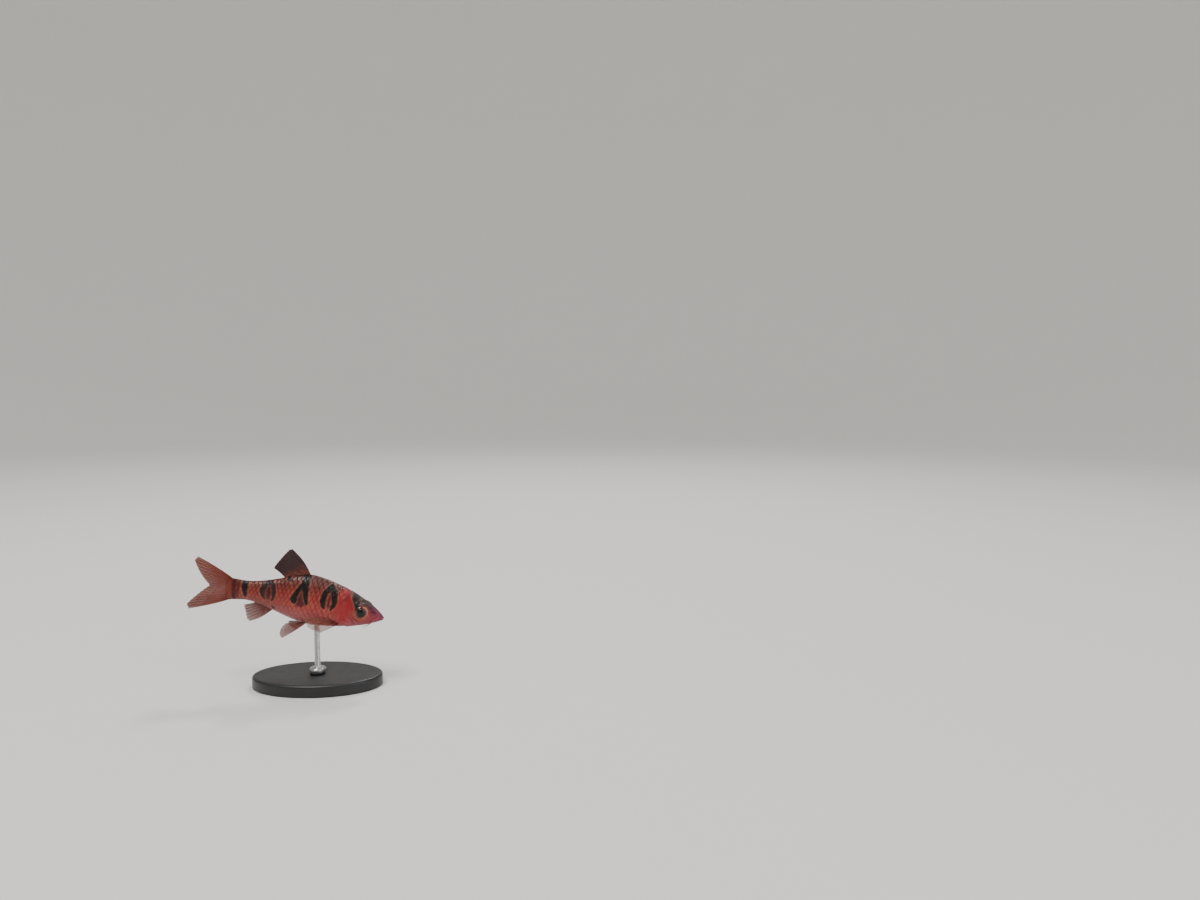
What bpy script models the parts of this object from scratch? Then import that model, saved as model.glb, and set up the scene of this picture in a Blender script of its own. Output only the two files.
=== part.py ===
"""A snakeskin barb at life size, swimming nose down, on a plain display stand.

Lengths are in metres. The fish is modelled straight and level: snout towards +X,
left side towards +Y, back towards +Z. A place on it is given as s, the share of
the standard length behind the snout tip, and h, the share of that length above
the line from the snout tip to the middle of the tail fin's base. At the end the
tail is swept a little sideways and the whole fish is pitched over its stand.
"""

import math

import bmesh
import bpy
from mathutils import Matrix, Vector

MM = 0.001

# Driving sizes of the fish
STANDARD_LENGTH = 45.0 * MM
NOSE_DOWN = math.radians(11.5)
TAIL_SWEEP = -2.6 * MM
SWEEP_FROM, SWEEP_TO = 0.35, 1.27
GAP = 0.3 * MM

# Body outline at its landmarks: (s, back, belly, half width), all as shares of the standard length
STATIONS = (
    (0.00, 0.000, 0.000, 0.000),  # snout tip
    (0.03, 0.029, -0.028, 0.029),  # lips
    (0.08, 0.060, -0.054, 0.049),  # nostrils
    (0.15, 0.094, -0.079, 0.065),  # eye
    (0.22, 0.126, -0.099, 0.074),  # cheek
    (0.30, 0.154, -0.115, 0.080),  # rear of the gill cover
    (0.40, 0.180, -0.129, 0.083),  # shoulder
    (0.50, 0.191, -0.133, 0.079),  # front of the dorsal fin
    (0.60, 0.172, -0.117, 0.069),  # middle of the dorsal fin
    (0.70, 0.131, -0.090, 0.055),  # vent
    (0.80, 0.096, -0.064, 0.041),  # rear of the anal fin
    (0.90, 0.075, -0.053, 0.029),  # narrowest of the tail stalk
    (1.00, 0.075, -0.072, 0.017),  # base of the tail fin
)
BODY_RINGS, BODY_SIDES = 54, 36
CAP_RINGS = 2
HEAD_WIDEST_AT, BODY_WIDEST_AT = 0.62, 0.52
SKULL_SQUARENESS, BACK_SQUARENESS, BELLY_SQUARENESS = 3.1, 1.75, 2.1
SKULL_ENDS, BACK_BEGINS = 0.14, 0.42

# Gill cover: its rear edge in the side view, and how far it stands off the flank
GILL_REAR, GILL_LEVEL = 0.302, 0.012
GILL_CURVE_ABOVE, GILL_CURVE_BELOW = 4.4, 6.6
GILL_LIFT = 0.42 * MM
GILL_LIFT_OVER = 0.055
GILL_TOP, GILL_BOTTOM = 0.092, -0.088
VENT = 0.69
PREOPERCLE, PREOPERCLE_WIDTH = 0.085, 0.012
PREOPERCLE_DEPTH = 0.2 * MM

# Eye, mouth, nostrils and barbels
EYE_S, EYE_H = 0.136, 0.0235
EYE_RADIUS = 2.2 * MM
EYE_HALF_DEPTH = 1.4 * MM
EYE_PROUD = 0.66 * MM
EYE_TURN_FORWARD, EYE_TURN_UP = math.radians(12), math.radians(4)
ORBIT_WIDER, ORBIT_HALF_DEPTH = 0.62 * MM, 1.5 * MM
OPENING_RADIUS, OPENING_LEVEL, OPENING_HALF_DEPTH = 2.28 * MM, 1.2 * MM, 2.5 * MM
MOUTH_CORNER_S, MOUTH_CORNER_H = 0.056, -0.030
MOUTH_FRONT_H = -0.004
MOUTH_GAP = 0.32 * MM
LIP_RADIUS = 0.24 * MM
LIP_SINK = 0.2 * MM
NOSTRILS = ((0.056, 0.032), (0.068, 0.039))
NOSTRIL_RADIUS, NOSTRIL_RIM = 0.24 * MM, 0.15 * MM
BARBEL_ROOT, BARBEL_TIP = 0.27 * MM, 0.12 * MM
# Each pair of barbels: name, s, h, length, how far it stands out and how much it droops
BARBELS = (
    ("snout", 0.026, 0.006, 2.2 * MM, 0.72, 0.55),
    ("mouth", 0.060, -0.027, 3.4 * MM, 0.50, 0.62),
)

# Fins: thickness of the solids, and how far each root runs into the body before it is trimmed
RAY_THICK, WEB_THICK = 0.86 * MM, 0.52 * MM
RAY_EDGE_THICK, WEB_EDGE_THICK = 0.56 * MM, 0.32 * MM
ROOT_SINK = 1.1 * MM
PELVIC_S, BELLY_DEEP = 0.478, 6.5 * MM
WEB_NOTCH = 0.035

# Stand
AXIS_HEIGHT = 24.5 * MM
ROD_S = 0.42
ROD_RADIUS = 0.8 * MM
COLLAR_RADIUS, COLLAR_HEIGHT, COLLAR_CHAMFER = 2.3 * MM, 1.6 * MM, 0.4 * MM
BASE_HALF_LENGTH, BASE_HALF_WIDTH, BASE_THICK = 19.0 * MM, 12.0 * MM, 3.5 * MM
BASE_ROUNDING = 0.8 * MM


def clear_scene():
    for thing in list(bpy.data.objects):
        bpy.data.objects.remove(thing)


def new_collection(name):
    made = bpy.data.collections.new(name)
    bpy.context.scene.collection.children.link(made)
    return made


def blend(low, high, value):
    """0 at low, 1 at high, and a smooth step between."""
    t = min(1.0, max(0.0, (value - low) / (high - low)))
    return t * t * (3 - 2 * t)


def mix(a, b, t):
    return a + (b - a) * t


# Surface of the body


def outline(s):
    """Back, belly and half width at s, as shares: a smooth curve through the stations.

    It runs over the square root of s, which rounds off the snout."""
    r = math.sqrt(max(s, 0.0))
    at = [math.sqrt(row[0]) for row in STATIONS]
    i = max(k for k in range(len(at) - 1) if at[k] <= r + 1e-12)
    span = at[i + 1] - at[i]
    t = (r - at[i]) / span
    found = []
    for column in (1, 2, 3):
        value = [row[column] for row in STATIONS]

        def slope(k):
            low, high = max(k - 1, 0), min(k + 1, len(at) - 1)
            return (value[high] - value[low]) / (at[high] - at[low])

        found.append(
            (2 * t**3 - 3 * t**2 + 1) * value[i]
            + (t**3 - 2 * t**2 + t) * span * slope(i)
            + (3 * t**2 - 2 * t**3) * value[i + 1]
            + (t**3 - t**2) * span * slope(i + 1)
        )
    return found


def squareness(s, above):
    if not above:
        return BELLY_SQUARENESS
    return mix(SKULL_SQUARENESS, BACK_SQUARENESS, blend(SKULL_ENDS, BACK_BEGINS, s))


def widest_height(s, back, belly):
    """Height at which the section is widest: at the eye's level on the head, and lower on the body."""
    return mix(belly, back, mix(HEAD_WIDEST_AT, BODY_WIDEST_AT, blend(SKULL_ENDS, BACK_BEGINS, s)))


def x_of(s):
    return (0.5 - s) * STANDARD_LENGTH


def section_point(s, angle, grow=0.0, lift=0.0):
    """Point of the skin at s, at an angle round the section from the back, grown outwards by grow."""
    back, belly, half_width = outline(s)
    middle = widest_height(s, back, belly)
    across, up = math.sin(angle), math.cos(angle)
    power = 2 / squareness(s, up >= 0)
    height = (back - middle) if up >= 0 else (middle - belly)
    reach = height * STANDARD_LENGTH + grow
    side = half_width * STANDARD_LENGTH + grow + lift
    return Vector(
        (
            x_of(s),
            math.copysign(side * abs(across) ** power, across),
            middle * STANDARD_LENGTH + math.copysign(reach * abs(up) ** power, up),
        )
    )


def skin_y(s, h):
    """Half width of the body at s, at height h."""
    back, belly, half_width = outline(s)
    middle = widest_height(s, back, belly)
    above = h >= middle
    height = (back - middle) if above else (middle - belly)
    n = squareness(s, above)
    share = min(1.0, abs(h - middle) / height)
    return half_width * STANDARD_LENGTH * (1 - share**n) ** (1 / n)


def on_skin(s, h, side=1):
    return Vector((x_of(s), side * skin_y(s, h), h * STANDARD_LENGTH))


def gill_s(h):
    """Where the rear edge of the gill cover lies at height h."""
    off = h - GILL_LEVEL
    return GILL_REAR - (GILL_CURVE_ABOVE if off > 0 else GILL_CURVE_BELOW) * off * off


def gill_lift(s, h):
    """How far the gill cover stands off the head's plain surface."""
    rise = blend(gill_s(h) - GILL_LIFT_OVER, gill_s(h), s)
    low = blend(GILL_BOTTOM - 0.02, GILL_BOTTOM + 0.02, h)
    high = 1 - blend(GILL_TOP - 0.02, GILL_TOP + 0.02, h)
    groove = math.exp(-(((s - gill_s(h) + PREOPERCLE) / PREOPERCLE_WIDTH) ** 2))
    return (GILL_LIFT * rise - PREOPERCLE_DEPTH * groove) * low * high


# Making and joining meshes


def face_outwards(bm):
    bmesh.ops.recalc_face_normals(bm, faces=bm.faces)
    if bm.calc_volume(signed=True) < 0:
        bmesh.ops.reverse_faces(bm, faces=bm.faces)


def object_from(bm, name, collection):
    mesh = bpy.data.meshes.new(name)
    bm.to_mesh(mesh)
    bm.free()
    made = bpy.data.objects.new(name, mesh)
    collection.objects.link(made)
    return made


def body_mesh(name, collection, grow=0.0, with_gill=False):
    """The whole body from a sphere, whose poles become the snout tip and the middle of the tail's end."""
    bm = bmesh.new()
    bmesh.ops.create_uvsphere(
        bm, u_segments=BODY_SIDES, v_segments=BODY_RINGS, radius=1
    )
    skin_rings = BODY_RINGS - CAP_RINGS
    for vert in bm.verts:
        ring = round(math.acos(max(-1.0, min(1.0, vert.co.z))) / math.pi * BODY_RINGS)
        angle = math.atan2(vert.co.x, vert.co.y)
        s = min(1.0, ring / skin_rings) ** 1.45
        inwards = 1 - max(0, ring - skin_rings) / CAP_RINGS
        place = section_point(s, angle, grow if ring else 0.0)
        if with_gill:
            lift = gill_lift(s, place.z / STANDARD_LENGTH)
            place.y += math.copysign(lift, place.y) * min(
                1.0, abs(math.sin(angle)) * 1.4
            )
        centre = sum(outline(s)[:2]) / 2 * STANDARD_LENGTH
        place.y *= inwards
        place.z = mix(centre, place.z, inwards)
        if ring in (0, BODY_RINGS):
            place.y = 0.0
        vert.co = place
    face_outwards(bm)
    return object_from(bm, name, collection)


def applied(thing):
    """The object with its modifiers made part of its mesh, and a curve made a mesh with its caps welded."""
    graph = bpy.context.evaluated_depsgraph_get()
    graph.update()
    mesh = bpy.data.meshes.new_from_object(
        thing.evaluated_get(graph), preserve_all_data_layers=True, depsgraph=graph
    )
    if thing.type == "MESH":
        thing.modifiers.clear()
        thing.data = mesh
        return thing
    bm = bmesh.new()
    bm.from_mesh(mesh)
    bmesh.ops.remove_doubles(bm, verts=bm.verts, dist=1e-7)
    face_outwards(bm)
    name, holder = thing.name, thing.users_collection[0]
    made = object_from(bm, name + "_mesh", holder)
    made.matrix_world = thing.matrix_world
    bpy.data.objects.remove(thing)
    made.name = name
    return made


def keep_largest(thing):
    """Drops every loose scrap, and leaves the closed surface with the most faces."""
    bm = bmesh.new()
    bm.from_mesh(thing.data)
    left, shells = set(bm.verts), []
    while left:
        todo, shell = [left.pop()], set()
        while todo:
            vert = todo.pop()
            shell.add(vert)
            near = [e.other_vert(vert) for e in vert.link_edges]
            fresh = [v for v in near if v in left]
            left.difference_update(fresh)
            todo += fresh
        shells.append(shell)
    biggest = max(shells, key=len)
    scraps = [v for v in bm.verts if v not in biggest]
    bmesh.ops.delete(bm, geom=scraps, context="VERTS")
    bm.to_mesh(thing.data)
    bm.free()
    return thing


def boolean(thing, others, operation, solver="EXACT"):
    """Joins or cuts thing with the others, which are then removed."""
    helpers = new_collection(thing.name + "_pieces")
    for other in others:
        for holder in other.users_collection:
            holder.objects.unlink(other)
        helpers.objects.link(other)
    modifier = thing.modifiers.new(operation.lower(), "BOOLEAN")
    modifier.operation = operation
    modifier.operand_type = "COLLECTION"
    modifier.collection = helpers
    modifier.solver = solver
    applied(thing)
    for other in list(helpers.objects):
        bpy.data.objects.remove(other)
    bpy.data.collections.remove(helpers)
    return keep_largest(thing)


def outline_prism(name, points, half_depth, collection):
    """A flat outline of (x, z) points, as thick as twice half_depth across the fish."""
    curve = bpy.data.curves.new(name, "CURVE")
    curve.dimensions = "2D"
    curve.fill_mode = "BOTH"
    curve.extrude = half_depth
    spline = curve.splines.new("POLY")
    spline.points.add(len(points) - 1)
    for point, (x, z) in zip(spline.points, points):
        point.co = (x, z, 0, 1)
    spline.use_cyclic_u = True
    made = bpy.data.objects.new(name, curve)
    made.matrix_world = Matrix.Rotation(math.pi / 2, 4, "X")
    collection.objects.link(made)
    bpy.context.view_layer.update()
    return applied(made)


def tube(name, points, radii, collection):
    """A round tube along the points, with a radius for each."""
    curve = bpy.data.curves.new(name, "CURVE")
    curve.dimensions = "3D"
    curve.bevel_depth = 1.0
    curve.bevel_resolution = 1
    curve.use_fill_caps = True
    spline = curve.splines.new("POLY")
    spline.points.add(len(points) - 1)
    for point, place, radius in zip(spline.points, points, radii):
        point.co = (*place, 1)
        point.radius = radius
    made = bpy.data.objects.new(name, curve)
    collection.objects.link(made)
    bpy.context.view_layer.update()
    return applied(made)


def ellipsoid(name, place, turn, radii, sides, rings, collection):
    bm = bmesh.new()
    bmesh.ops.create_uvsphere(bm, u_segments=sides, v_segments=rings, radius=1)
    bmesh.ops.scale(bm, vec=radii, verts=bm.verts)
    bmesh.ops.transform(
        bm, matrix=Matrix.Translation(place) @ turn.to_4x4(), verts=bm.verts
    )
    return object_from(bm, name, collection)


# Lengths of the body, parted by thin cuts


def edge_line(place_of, low, high, count, shift):
    """Points (x, z) down a curve s = place_of(h), moved rearwards by shift along its normal."""
    heights = [mix(high, low, k / (count - 1)) for k in range(count)]
    line = [Vector((x_of(place_of(h)), h * STANDARD_LENGTH)) for h in heights]
    moved = []
    for k, point in enumerate(line):
        along = line[min(k + 1, count - 1)] - line[max(k - 1, 0)]
        rearwards = Vector((along.y, -along.x)).normalized()
        if rearwards.x > 0:
            rearwards.negate()
        moved.append(tuple(point + rearwards * shift))
    return moved


def length_cutter(name, front_line, rear_line, collection):
    """The block of space between two lines, each given from the top down."""
    return outline_prism(
        name, list(front_line) + list(reversed(rear_line)), 0.3 * STANDARD_LENGTH, collection
    )


def vent_s(h):
    return VENT - 0.25 * h


def straight_line(s):
    reach = 0.4 * STANDARD_LENGTH
    return [(x_of(s), reach), (x_of(s), -reach)]


def body_lengths(collection):
    """Head, torso and tail, each cut from the whole body by the space that it fills."""
    half = GAP / 2
    gill = [edge_line(gill_s, -0.17, 0.21, 24, shift) for shift in (-half, half)]
    vent = [edge_line(vent_s, -0.2, 0.2, 2, shift) for shift in (-half, half)]
    spaces = {
        "head": (straight_line(-0.1), gill[0]),
        "torso": (gill[1], vent[0]),
        "tail": (vent[1], straight_line(1.1)),
    }
    made = {}
    for name, (front, rear) in spaces.items():
        length = body_mesh(name, collection, with_gill=name == "head")
        cutter = length_cutter(name + "_space", front, rear, collection)
        made[name] = boolean(length, [cutter], "INTERSECT")
    return made


# Features of the head


def eye_frame(side):
    """Centre of an eyeball, and its turn: its own +Z looks out of the head."""
    out = Vector(
        (
            math.sin(EYE_TURN_FORWARD),
            side * math.cos(EYE_TURN_FORWARD),
            math.sin(EYE_TURN_UP),
        )
    ).normalized()
    surface = on_skin(EYE_S, EYE_H, side)
    centre = surface + out * (EYE_PROUD - EYE_HALF_DEPTH)
    return centre, out.to_track_quat("Z", "Y").to_matrix()


def mouth_line(s, shift=0.0):
    """Height of the mouth line at s, as a share, moved up by shift."""
    t = min(1.0, max(0.0, s / MOUTH_CORNER_S))
    return mix(MOUTH_FRONT_H, MOUTH_CORNER_H, t**1.4) + shift / STANDARD_LENGTH


def mouth_cutter(collection):
    """A thin slot from before the snout to the corners of the mouth, which closes at its end."""
    steps = 8
    along = [mix(-0.02, MOUTH_CORNER_S, k / steps) for k in range(steps + 1)]
    half = [MOUTH_GAP / 2 * (1 if k < steps else 0.5) for k in range(steps + 1)]
    upper = [
        (x_of(s), mouth_line(s, w) * STANDARD_LENGTH) for s, w in zip(along, half)
    ]
    lower = [
        (x_of(s), mouth_line(s, -w) * STANDARD_LENGTH) for s, w in zip(along, half)
    ]
    return outline_prism("mouth_slot", upper + lower[::-1], 5 * MM, collection)


def mouth_side_s(y):
    """Where the mouth line has the head's surface at a distance y from the middle."""
    low, high = 0.0, MOUTH_CORNER_S
    for _ in range(30):
        s = (low + high) / 2
        if skin_y(s, mouth_line(s)) < y:
            low = s
        else:
            high = s
    return low


def lip(name, direction, collection):
    """A soft ridge round the snout beside the mouth slot, thickest in front."""
    steps = 8
    corner_y = skin_y(MOUTH_CORNER_S, MOUTH_CORNER_H)
    shift = direction * (MOUTH_GAP / 2 + LIP_RADIUS * 0.72)
    points, radii = [], []
    for k in range(-steps, steps + 1):
        far = abs(k) / steps
        s = mouth_side_s(corner_y * far)
        up = mouth_line(s) * STANDARD_LENGTH + shift * mix(1.0, 0.6, far**2)
        points.append(Vector((x_of(s) - LIP_SINK, corner_y * k / steps, up)))
        radii.append(LIP_RADIUS * mix(1.0, 0.5, far**2))
    return tube(name, points, radii, collection)


def barbel(name, side, s, h, length, stand_out, droop, collection):
    """A feeler that leaves the skin outwards and curves back and down."""
    steps = 7
    root = on_skin(s, h, side) - Vector((0, side * 0.35 * MM, 0))
    points, radii = [], []
    for k in range(steps + 1):
        t = k / steps
        out = stand_out * math.sin(min(1.0, t * 1.2) * math.pi / 2)
        back = -0.75 * t**1.5
        down = -droop * t**1.2
        points.append(root + Vector((back, side * (out + 0.12 * t), down)) * length)
        radii.append(mix(BARBEL_ROOT, BARBEL_TIP, t**0.8))
    return tube(name, points, radii, collection)


def finish_head(head, collection):
    """Adds lips, orbits and barbels to the head, then cuts its sockets, nostrils and mouth."""
    added = [lip("lip_upper", 1, collection), lip("lip_lower", -1, collection)]
    cut = [mouth_cutter(collection)]
    for side, word in ((1, "left"), (-1, "right")):
        centre, turn = eye_frame(side)
        swelling = (EYE_RADIUS + ORBIT_WIDER,) * 2 + (ORBIT_HALF_DEPTH,)
        added.append(ellipsoid("orbit_" + word, centre, turn, swelling, 26, 12, collection))
        for place, s, h, length, out, droop in BARBELS:
            name = f"barbel_{place}_{word}"
            added.append(barbel(name, side, s, h, length, out, droop, collection))
        grown = (EYE_RADIUS + GAP, EYE_RADIUS + GAP, EYE_HALF_DEPTH + GAP)
        cut.append(ellipsoid("socket_" + word, centre, turn, grown, 24, 10, collection))
        outer = centre + turn @ Vector((0, 0, OPENING_LEVEL))
        wide = (OPENING_RADIUS, OPENING_RADIUS, OPENING_HALF_DEPTH)
        cut.append(ellipsoid("opening_" + word, outer, turn, wide, 24, 10, collection))
        for number, (s, h) in enumerate(NOSTRILS):
            spot = on_skin(s, h, side)
            radii = (NOSTRIL_RADIUS + NOSTRIL_RIM,) * 2 + (NOSTRIL_RADIUS * 0.75,)
            name = f"nostril_rim_{number}_{word}"
            added.append(ellipsoid(name, spot, turn, radii, 12, 6, collection))
            spot = spot + turn @ Vector((0, 0, NOSTRIL_RADIUS * 0.55))
            name = f"nostril_{number}_{word}"
            cut.append(ellipsoid(name, spot, turn, (NOSTRIL_RADIUS,) * 3, 10, 6, collection))
    boolean(head, added, "UNION", "MANIFOLD")
    return boolean(head, cut, "DIFFERENCE", "MANIFOLD")


def eyeball(side, word, collection):
    centre, turn = eye_frame(side)
    radii = (EYE_RADIUS, EYE_RADIUS, EYE_HALF_DEPTH)
    return ellipsoid("eye_" + word, centre, turn, radii, 24, 12, collection)


# Fins


def fin_sheet(name, ray_count, rows, place, collection, root_thick=RAY_THICK):
    """A fin as one closed sheet with a ridge for each ray.

    place(u, v) gives a point of its middle surface: u runs over the rays from the first
    to the last, and v from the root to the edge."""
    bm = bmesh.new()
    columns = 2 * (ray_count - 1)
    bmesh.ops.create_grid(bm, x_segments=columns, y_segments=rows, size=1)
    thickness = []
    bm.verts.ensure_lookup_table()
    for vert in bm.verts:
        column = round((vert.co.x + 1) / 2 * columns)
        v = (vert.co.y + 1) / 2
        on_ray = column % 2 == 0
        reach = v if on_ray else v * (1 - WEB_NOTCH * v)
        root = root_thick if on_ray else max(WEB_THICK, root_thick - 0.3 * MM)
        thick = mix(root, RAY_THICK if on_ray else WEB_THICK, min(1.0, v * 3.5))
        edge = RAY_EDGE_THICK if on_ray else WEB_EDGE_THICK
        thickness.append(mix(thick, edge, blend(0.5, 1.0, v)))
        vert.co = place(column / columns, reach)
    bmesh.ops.triangulate(bm, faces=bm.faces)
    made = object_from(bm, name, collection)
    thickest = max(thickness)
    group = made.vertex_groups.new(name="thickness")
    for index, thick in enumerate(thickness):
        group.add([index], thick / thickest, "REPLACE")
    solid = made.modifiers.new("thickness", "SOLIDIFY")
    solid.thickness = thickest
    solid.offset = 0
    solid.vertex_group = group.name
    return applied(made)


def fan_point(root, angle, length, curl, v):
    """A point along one ray, in the fin's own plane: it leaves at angle and bends by curl on its way."""
    turned = angle + curl * v / 2
    return Vector((root[0] - math.cos(turned) * length * v, root[1] + math.sin(turned) * length * v))


def dorsal_place(u, v):
    s = mix(0.504, 0.660, u)
    root = (x_of(s), outline(s)[0] * STANDARD_LENGTH - ROOT_SINK)
    first_rays = mix(0.62, 0.965, u / 0.1) if u < 0.1 else mix(0.965, 1.0, blend(0.1, 0.2, u))
    length = mix(0.212, 0.092, max(0.0, u - 0.05) / 0.95) * first_rays * STANDARD_LENGTH + ROOT_SINK
    angle = math.radians(mix(62, 44, u))
    x, z = fan_point(root, angle, length, math.radians(-21), v)
    return Vector((x, 0, z))


def anal_place(u, v):
    s = mix(0.702, 0.800, u)
    root = (x_of(s), -outline(s)[1] * STANDARD_LENGTH - ROOT_SINK)
    first_rays = mix(0.6, 0.95, u / 0.14) if u < 0.14 else mix(0.95, 1.0, blend(0.14, 0.28, u))
    length = mix(0.178, 0.088, max(0.0, u - 0.06) / 0.94) * first_rays * STANDARD_LENGTH + ROOT_SINK
    angle = math.radians(mix(52, 30, u))
    x, z = fan_point(root, angle, length, math.radians(-12), v)
    return Vector((x, 0, -z))


def caudal_place(direction, u, v):
    """One lobe of the tail fin: u runs from the fork to the outer edge."""
    back, belly, _ = outline(1.0)
    middle = (back + belly) / 2 * STANDARD_LENGTH
    half_height = (back - belly) / 2 * STANDARD_LENGTH
    from_middle = mix(GAP / 2 + RAY_THICK * 0.1, half_height * 0.96, u)
    root = (x_of(1.0) - GAP, from_middle)
    rounding = 1 - 0.13 * blend(0.78, 1.0, u)
    length = mix(0.132, 0.298, u**1.1) * rounding * STANDARD_LENGTH
    angle = math.radians(mix(1.5, 29, u**0.85))
    x, z = fan_point(root, angle, length, math.radians(-12 * u), v)
    return Vector((x, 0, middle + direction * z))


def paired_place(side, s, h, base, lean, splay, lengths, spread, cup, u, v):
    """A pectoral or pelvic fin: a fan that lies along the flank, splayed outwards.

    Its rays start down a short base that leans by lean, and it cups towards the body."""
    lower = on_skin(s, h, side)
    base_way = Vector((math.sin(lean), 0, -math.cos(lean)))
    root = lower + base_way * base * u
    angle = mix(spread[0], spread[1], u)
    length = mix(lengths[0], lengths[1], u) * (1 + 0.16 * math.sin(math.pi * min(1, u * 1.25)))
    back = Vector((-math.cos(angle), 0, math.sin(angle)))
    out = Vector((0, side, 0))
    way = back * math.cos(splay) + out * math.sin(splay)
    start = root - way * ROOT_SINK
    reach = (length + ROOT_SINK) * v
    bow = out * (-cup * length * v * v)
    return start + way * reach + bow


def pectoral_place(side, u, v):
    return paired_place(
        side,
        s=0.303,
        h=-0.062,
        base=1.7 * MM,
        lean=math.radians(18),
        splay=math.radians(30),
        lengths=(8.4 * MM, 4.8 * MM),
        spread=(math.radians(2), math.radians(-34)),
        cup=0.16,
        u=u,
        v=v,
    )


def pelvic_place(side, u, v):
    """A pelvic fin: its base runs back and inwards over the belly, and its first ray hangs lowest."""
    s = mix(PELVIC_S, PELVIC_S + 0.026, u)
    across = mix(1.75 * MM, 0.75 * MM, u)
    belly = outline(s)[1] * STANDARD_LENGTH
    half_width = outline(s)[2] * STANDARD_LENGTH
    rise = (1 - math.sqrt(1 - (across / half_width) ** 2)) * BELLY_DEEP
    root = Vector((x_of(s), side * across, belly + rise))
    down = math.radians(mix(50, 14, u))
    out = math.radians(mix(30, 10, u))
    length = mix(7.6, 4.4, u) * MM * (1 + 0.1 * math.sin(math.pi * u))
    way = Vector(
        (
            -math.cos(down) * math.cos(out),
            side * math.sin(out),
            -math.sin(down) * math.cos(out),
        )
    )
    start = root - way * ROOT_SINK
    bow = Vector((-0.12, 0, 0.05)) * length * v * v
    return start + way * (length + ROOT_SINK) * v + bow


def trim_root(fin, collection):
    """Cuts the fin's root off along the skin, a gap away from it."""
    space = body_mesh("clear_space", collection, grow=GAP)
    return boolean(fin, [space], "DIFFERENCE", "MANIFOLD")


def fins(collection):
    made = {
        "dorsal_fin": trim_root(
            fin_sheet("dorsal_fin", 11, 8, dorsal_place, collection), collection
        ),
        "anal_fin": trim_root(fin_sheet("anal_fin", 8, 7, anal_place, collection), collection),
    }
    for word, direction, rays in (("upper", 1, 10), ("lower", -1, 9)):
        name = "caudal_fin_" + word
        made[name] = fin_sheet(
            name,
            rays,
            10,
            lambda u, v, d=direction: caudal_place(d, u, v),
            collection,
            root_thick=1.35 * MM,
        )
    for side, word in ((1, "left"), (-1, "right")):
        for kind, place, rays in (
            ("pectoral_fin_", pectoral_place, 9),
            ("pelvic_fin_", pelvic_place, 8),
        ):
            name = kind + word
            sheet = fin_sheet(
                name, rays, 7, lambda u, v, p=place, sd=side: p(sd, u, v), collection
            )
            made[name] = trim_root(sheet, collection)
    return made


# Pose and stand


def sweep(thing):
    """Moves the tail sideways, more towards its tip."""
    start, end = x_of(SWEEP_FROM), x_of(SWEEP_TO)
    for vert in thing.data.vertices:
        t = max(0.0, (vert.co.x - start) / (end - start))
        vert.co.y += TAIL_SWEEP * t * t


def fish_pose():
    """Where the fish's own frame goes, so that the belly over the rod is over the origin."""
    turn = Matrix.Rotation(NOSE_DOWN, 4, "Y")
    belly = Vector((x_of(ROD_S), 0, outline(ROD_S)[1] * STANDARD_LENGTH))
    return Matrix.Translation((-(turn @ belly).x, 0, AXIS_HEIGHT)) @ turn


def stand_base(collection):
    bm = bmesh.new()
    bmesh.ops.create_cone(
        bm, cap_ends=True, segments=56, radius1=1, radius2=1, depth=BASE_THICK
    )
    bmesh.ops.scale(bm, vec=(BASE_HALF_LENGTH, BASE_HALF_WIDTH, 1), verts=bm.verts)
    bmesh.ops.translate(bm, vec=(0, 0, BASE_THICK / 2), verts=bm.verts)
    made = object_from(bm, "stand_base", collection)
    edge = made.modifiers.new("rounded_top", "BEVEL")
    edge.width = BASE_ROUNDING
    edge.segments = 2
    edge.limit_method = "ANGLE"
    edge.angle_limit = math.radians(60)
    return applied(made)


def stand_rod(collection):
    """A turned rod with a collar at its foot, trimmed to the belly that it holds."""
    foot, top = BASE_THICK + GAP, AXIS_HEIGHT
    profile = (
        (0, top),
        (ROD_RADIUS, top),
        (ROD_RADIUS, foot + COLLAR_HEIGHT),
        (COLLAR_RADIUS - COLLAR_CHAMFER, foot + COLLAR_HEIGHT),
        (COLLAR_RADIUS, foot + COLLAR_HEIGHT - COLLAR_CHAMFER),
        (COLLAR_RADIUS, foot),
        (0, foot),
    )
    bm = bmesh.new()
    verts = [bm.verts.new((x, 0, z)) for x, z in profile]
    for pair in zip(verts, verts[1:]):
        bm.edges.new(pair)
    made = object_from(bm, "stand_rod", collection)
    screw = made.modifiers.new("turned", "SCREW")
    screw.steps = screw.render_steps = 24
    screw.use_merge_vertices = True
    screw.merge_threshold = 0.00001
    screw.use_normal_calculate = True
    applied(made)
    space = body_mesh("clear_space", collection, grow=GAP)
    sweep(space)
    space.matrix_world = fish_pose()
    bpy.context.view_layer.update()
    return boolean(made, [space], "DIFFERENCE")


# Colours and assembly


def material(name, colour, roughness, metallic=0.0):
    made = bpy.data.materials.new(name)
    made.use_nodes = True
    shader = made.node_tree.nodes["Principled BSDF"]
    shader.inputs["Base Color"].default_value = (*colour, 1)
    shader.inputs["Roughness"].default_value = roughness
    shader.inputs["Metallic"].default_value = metallic
    return made


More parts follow.
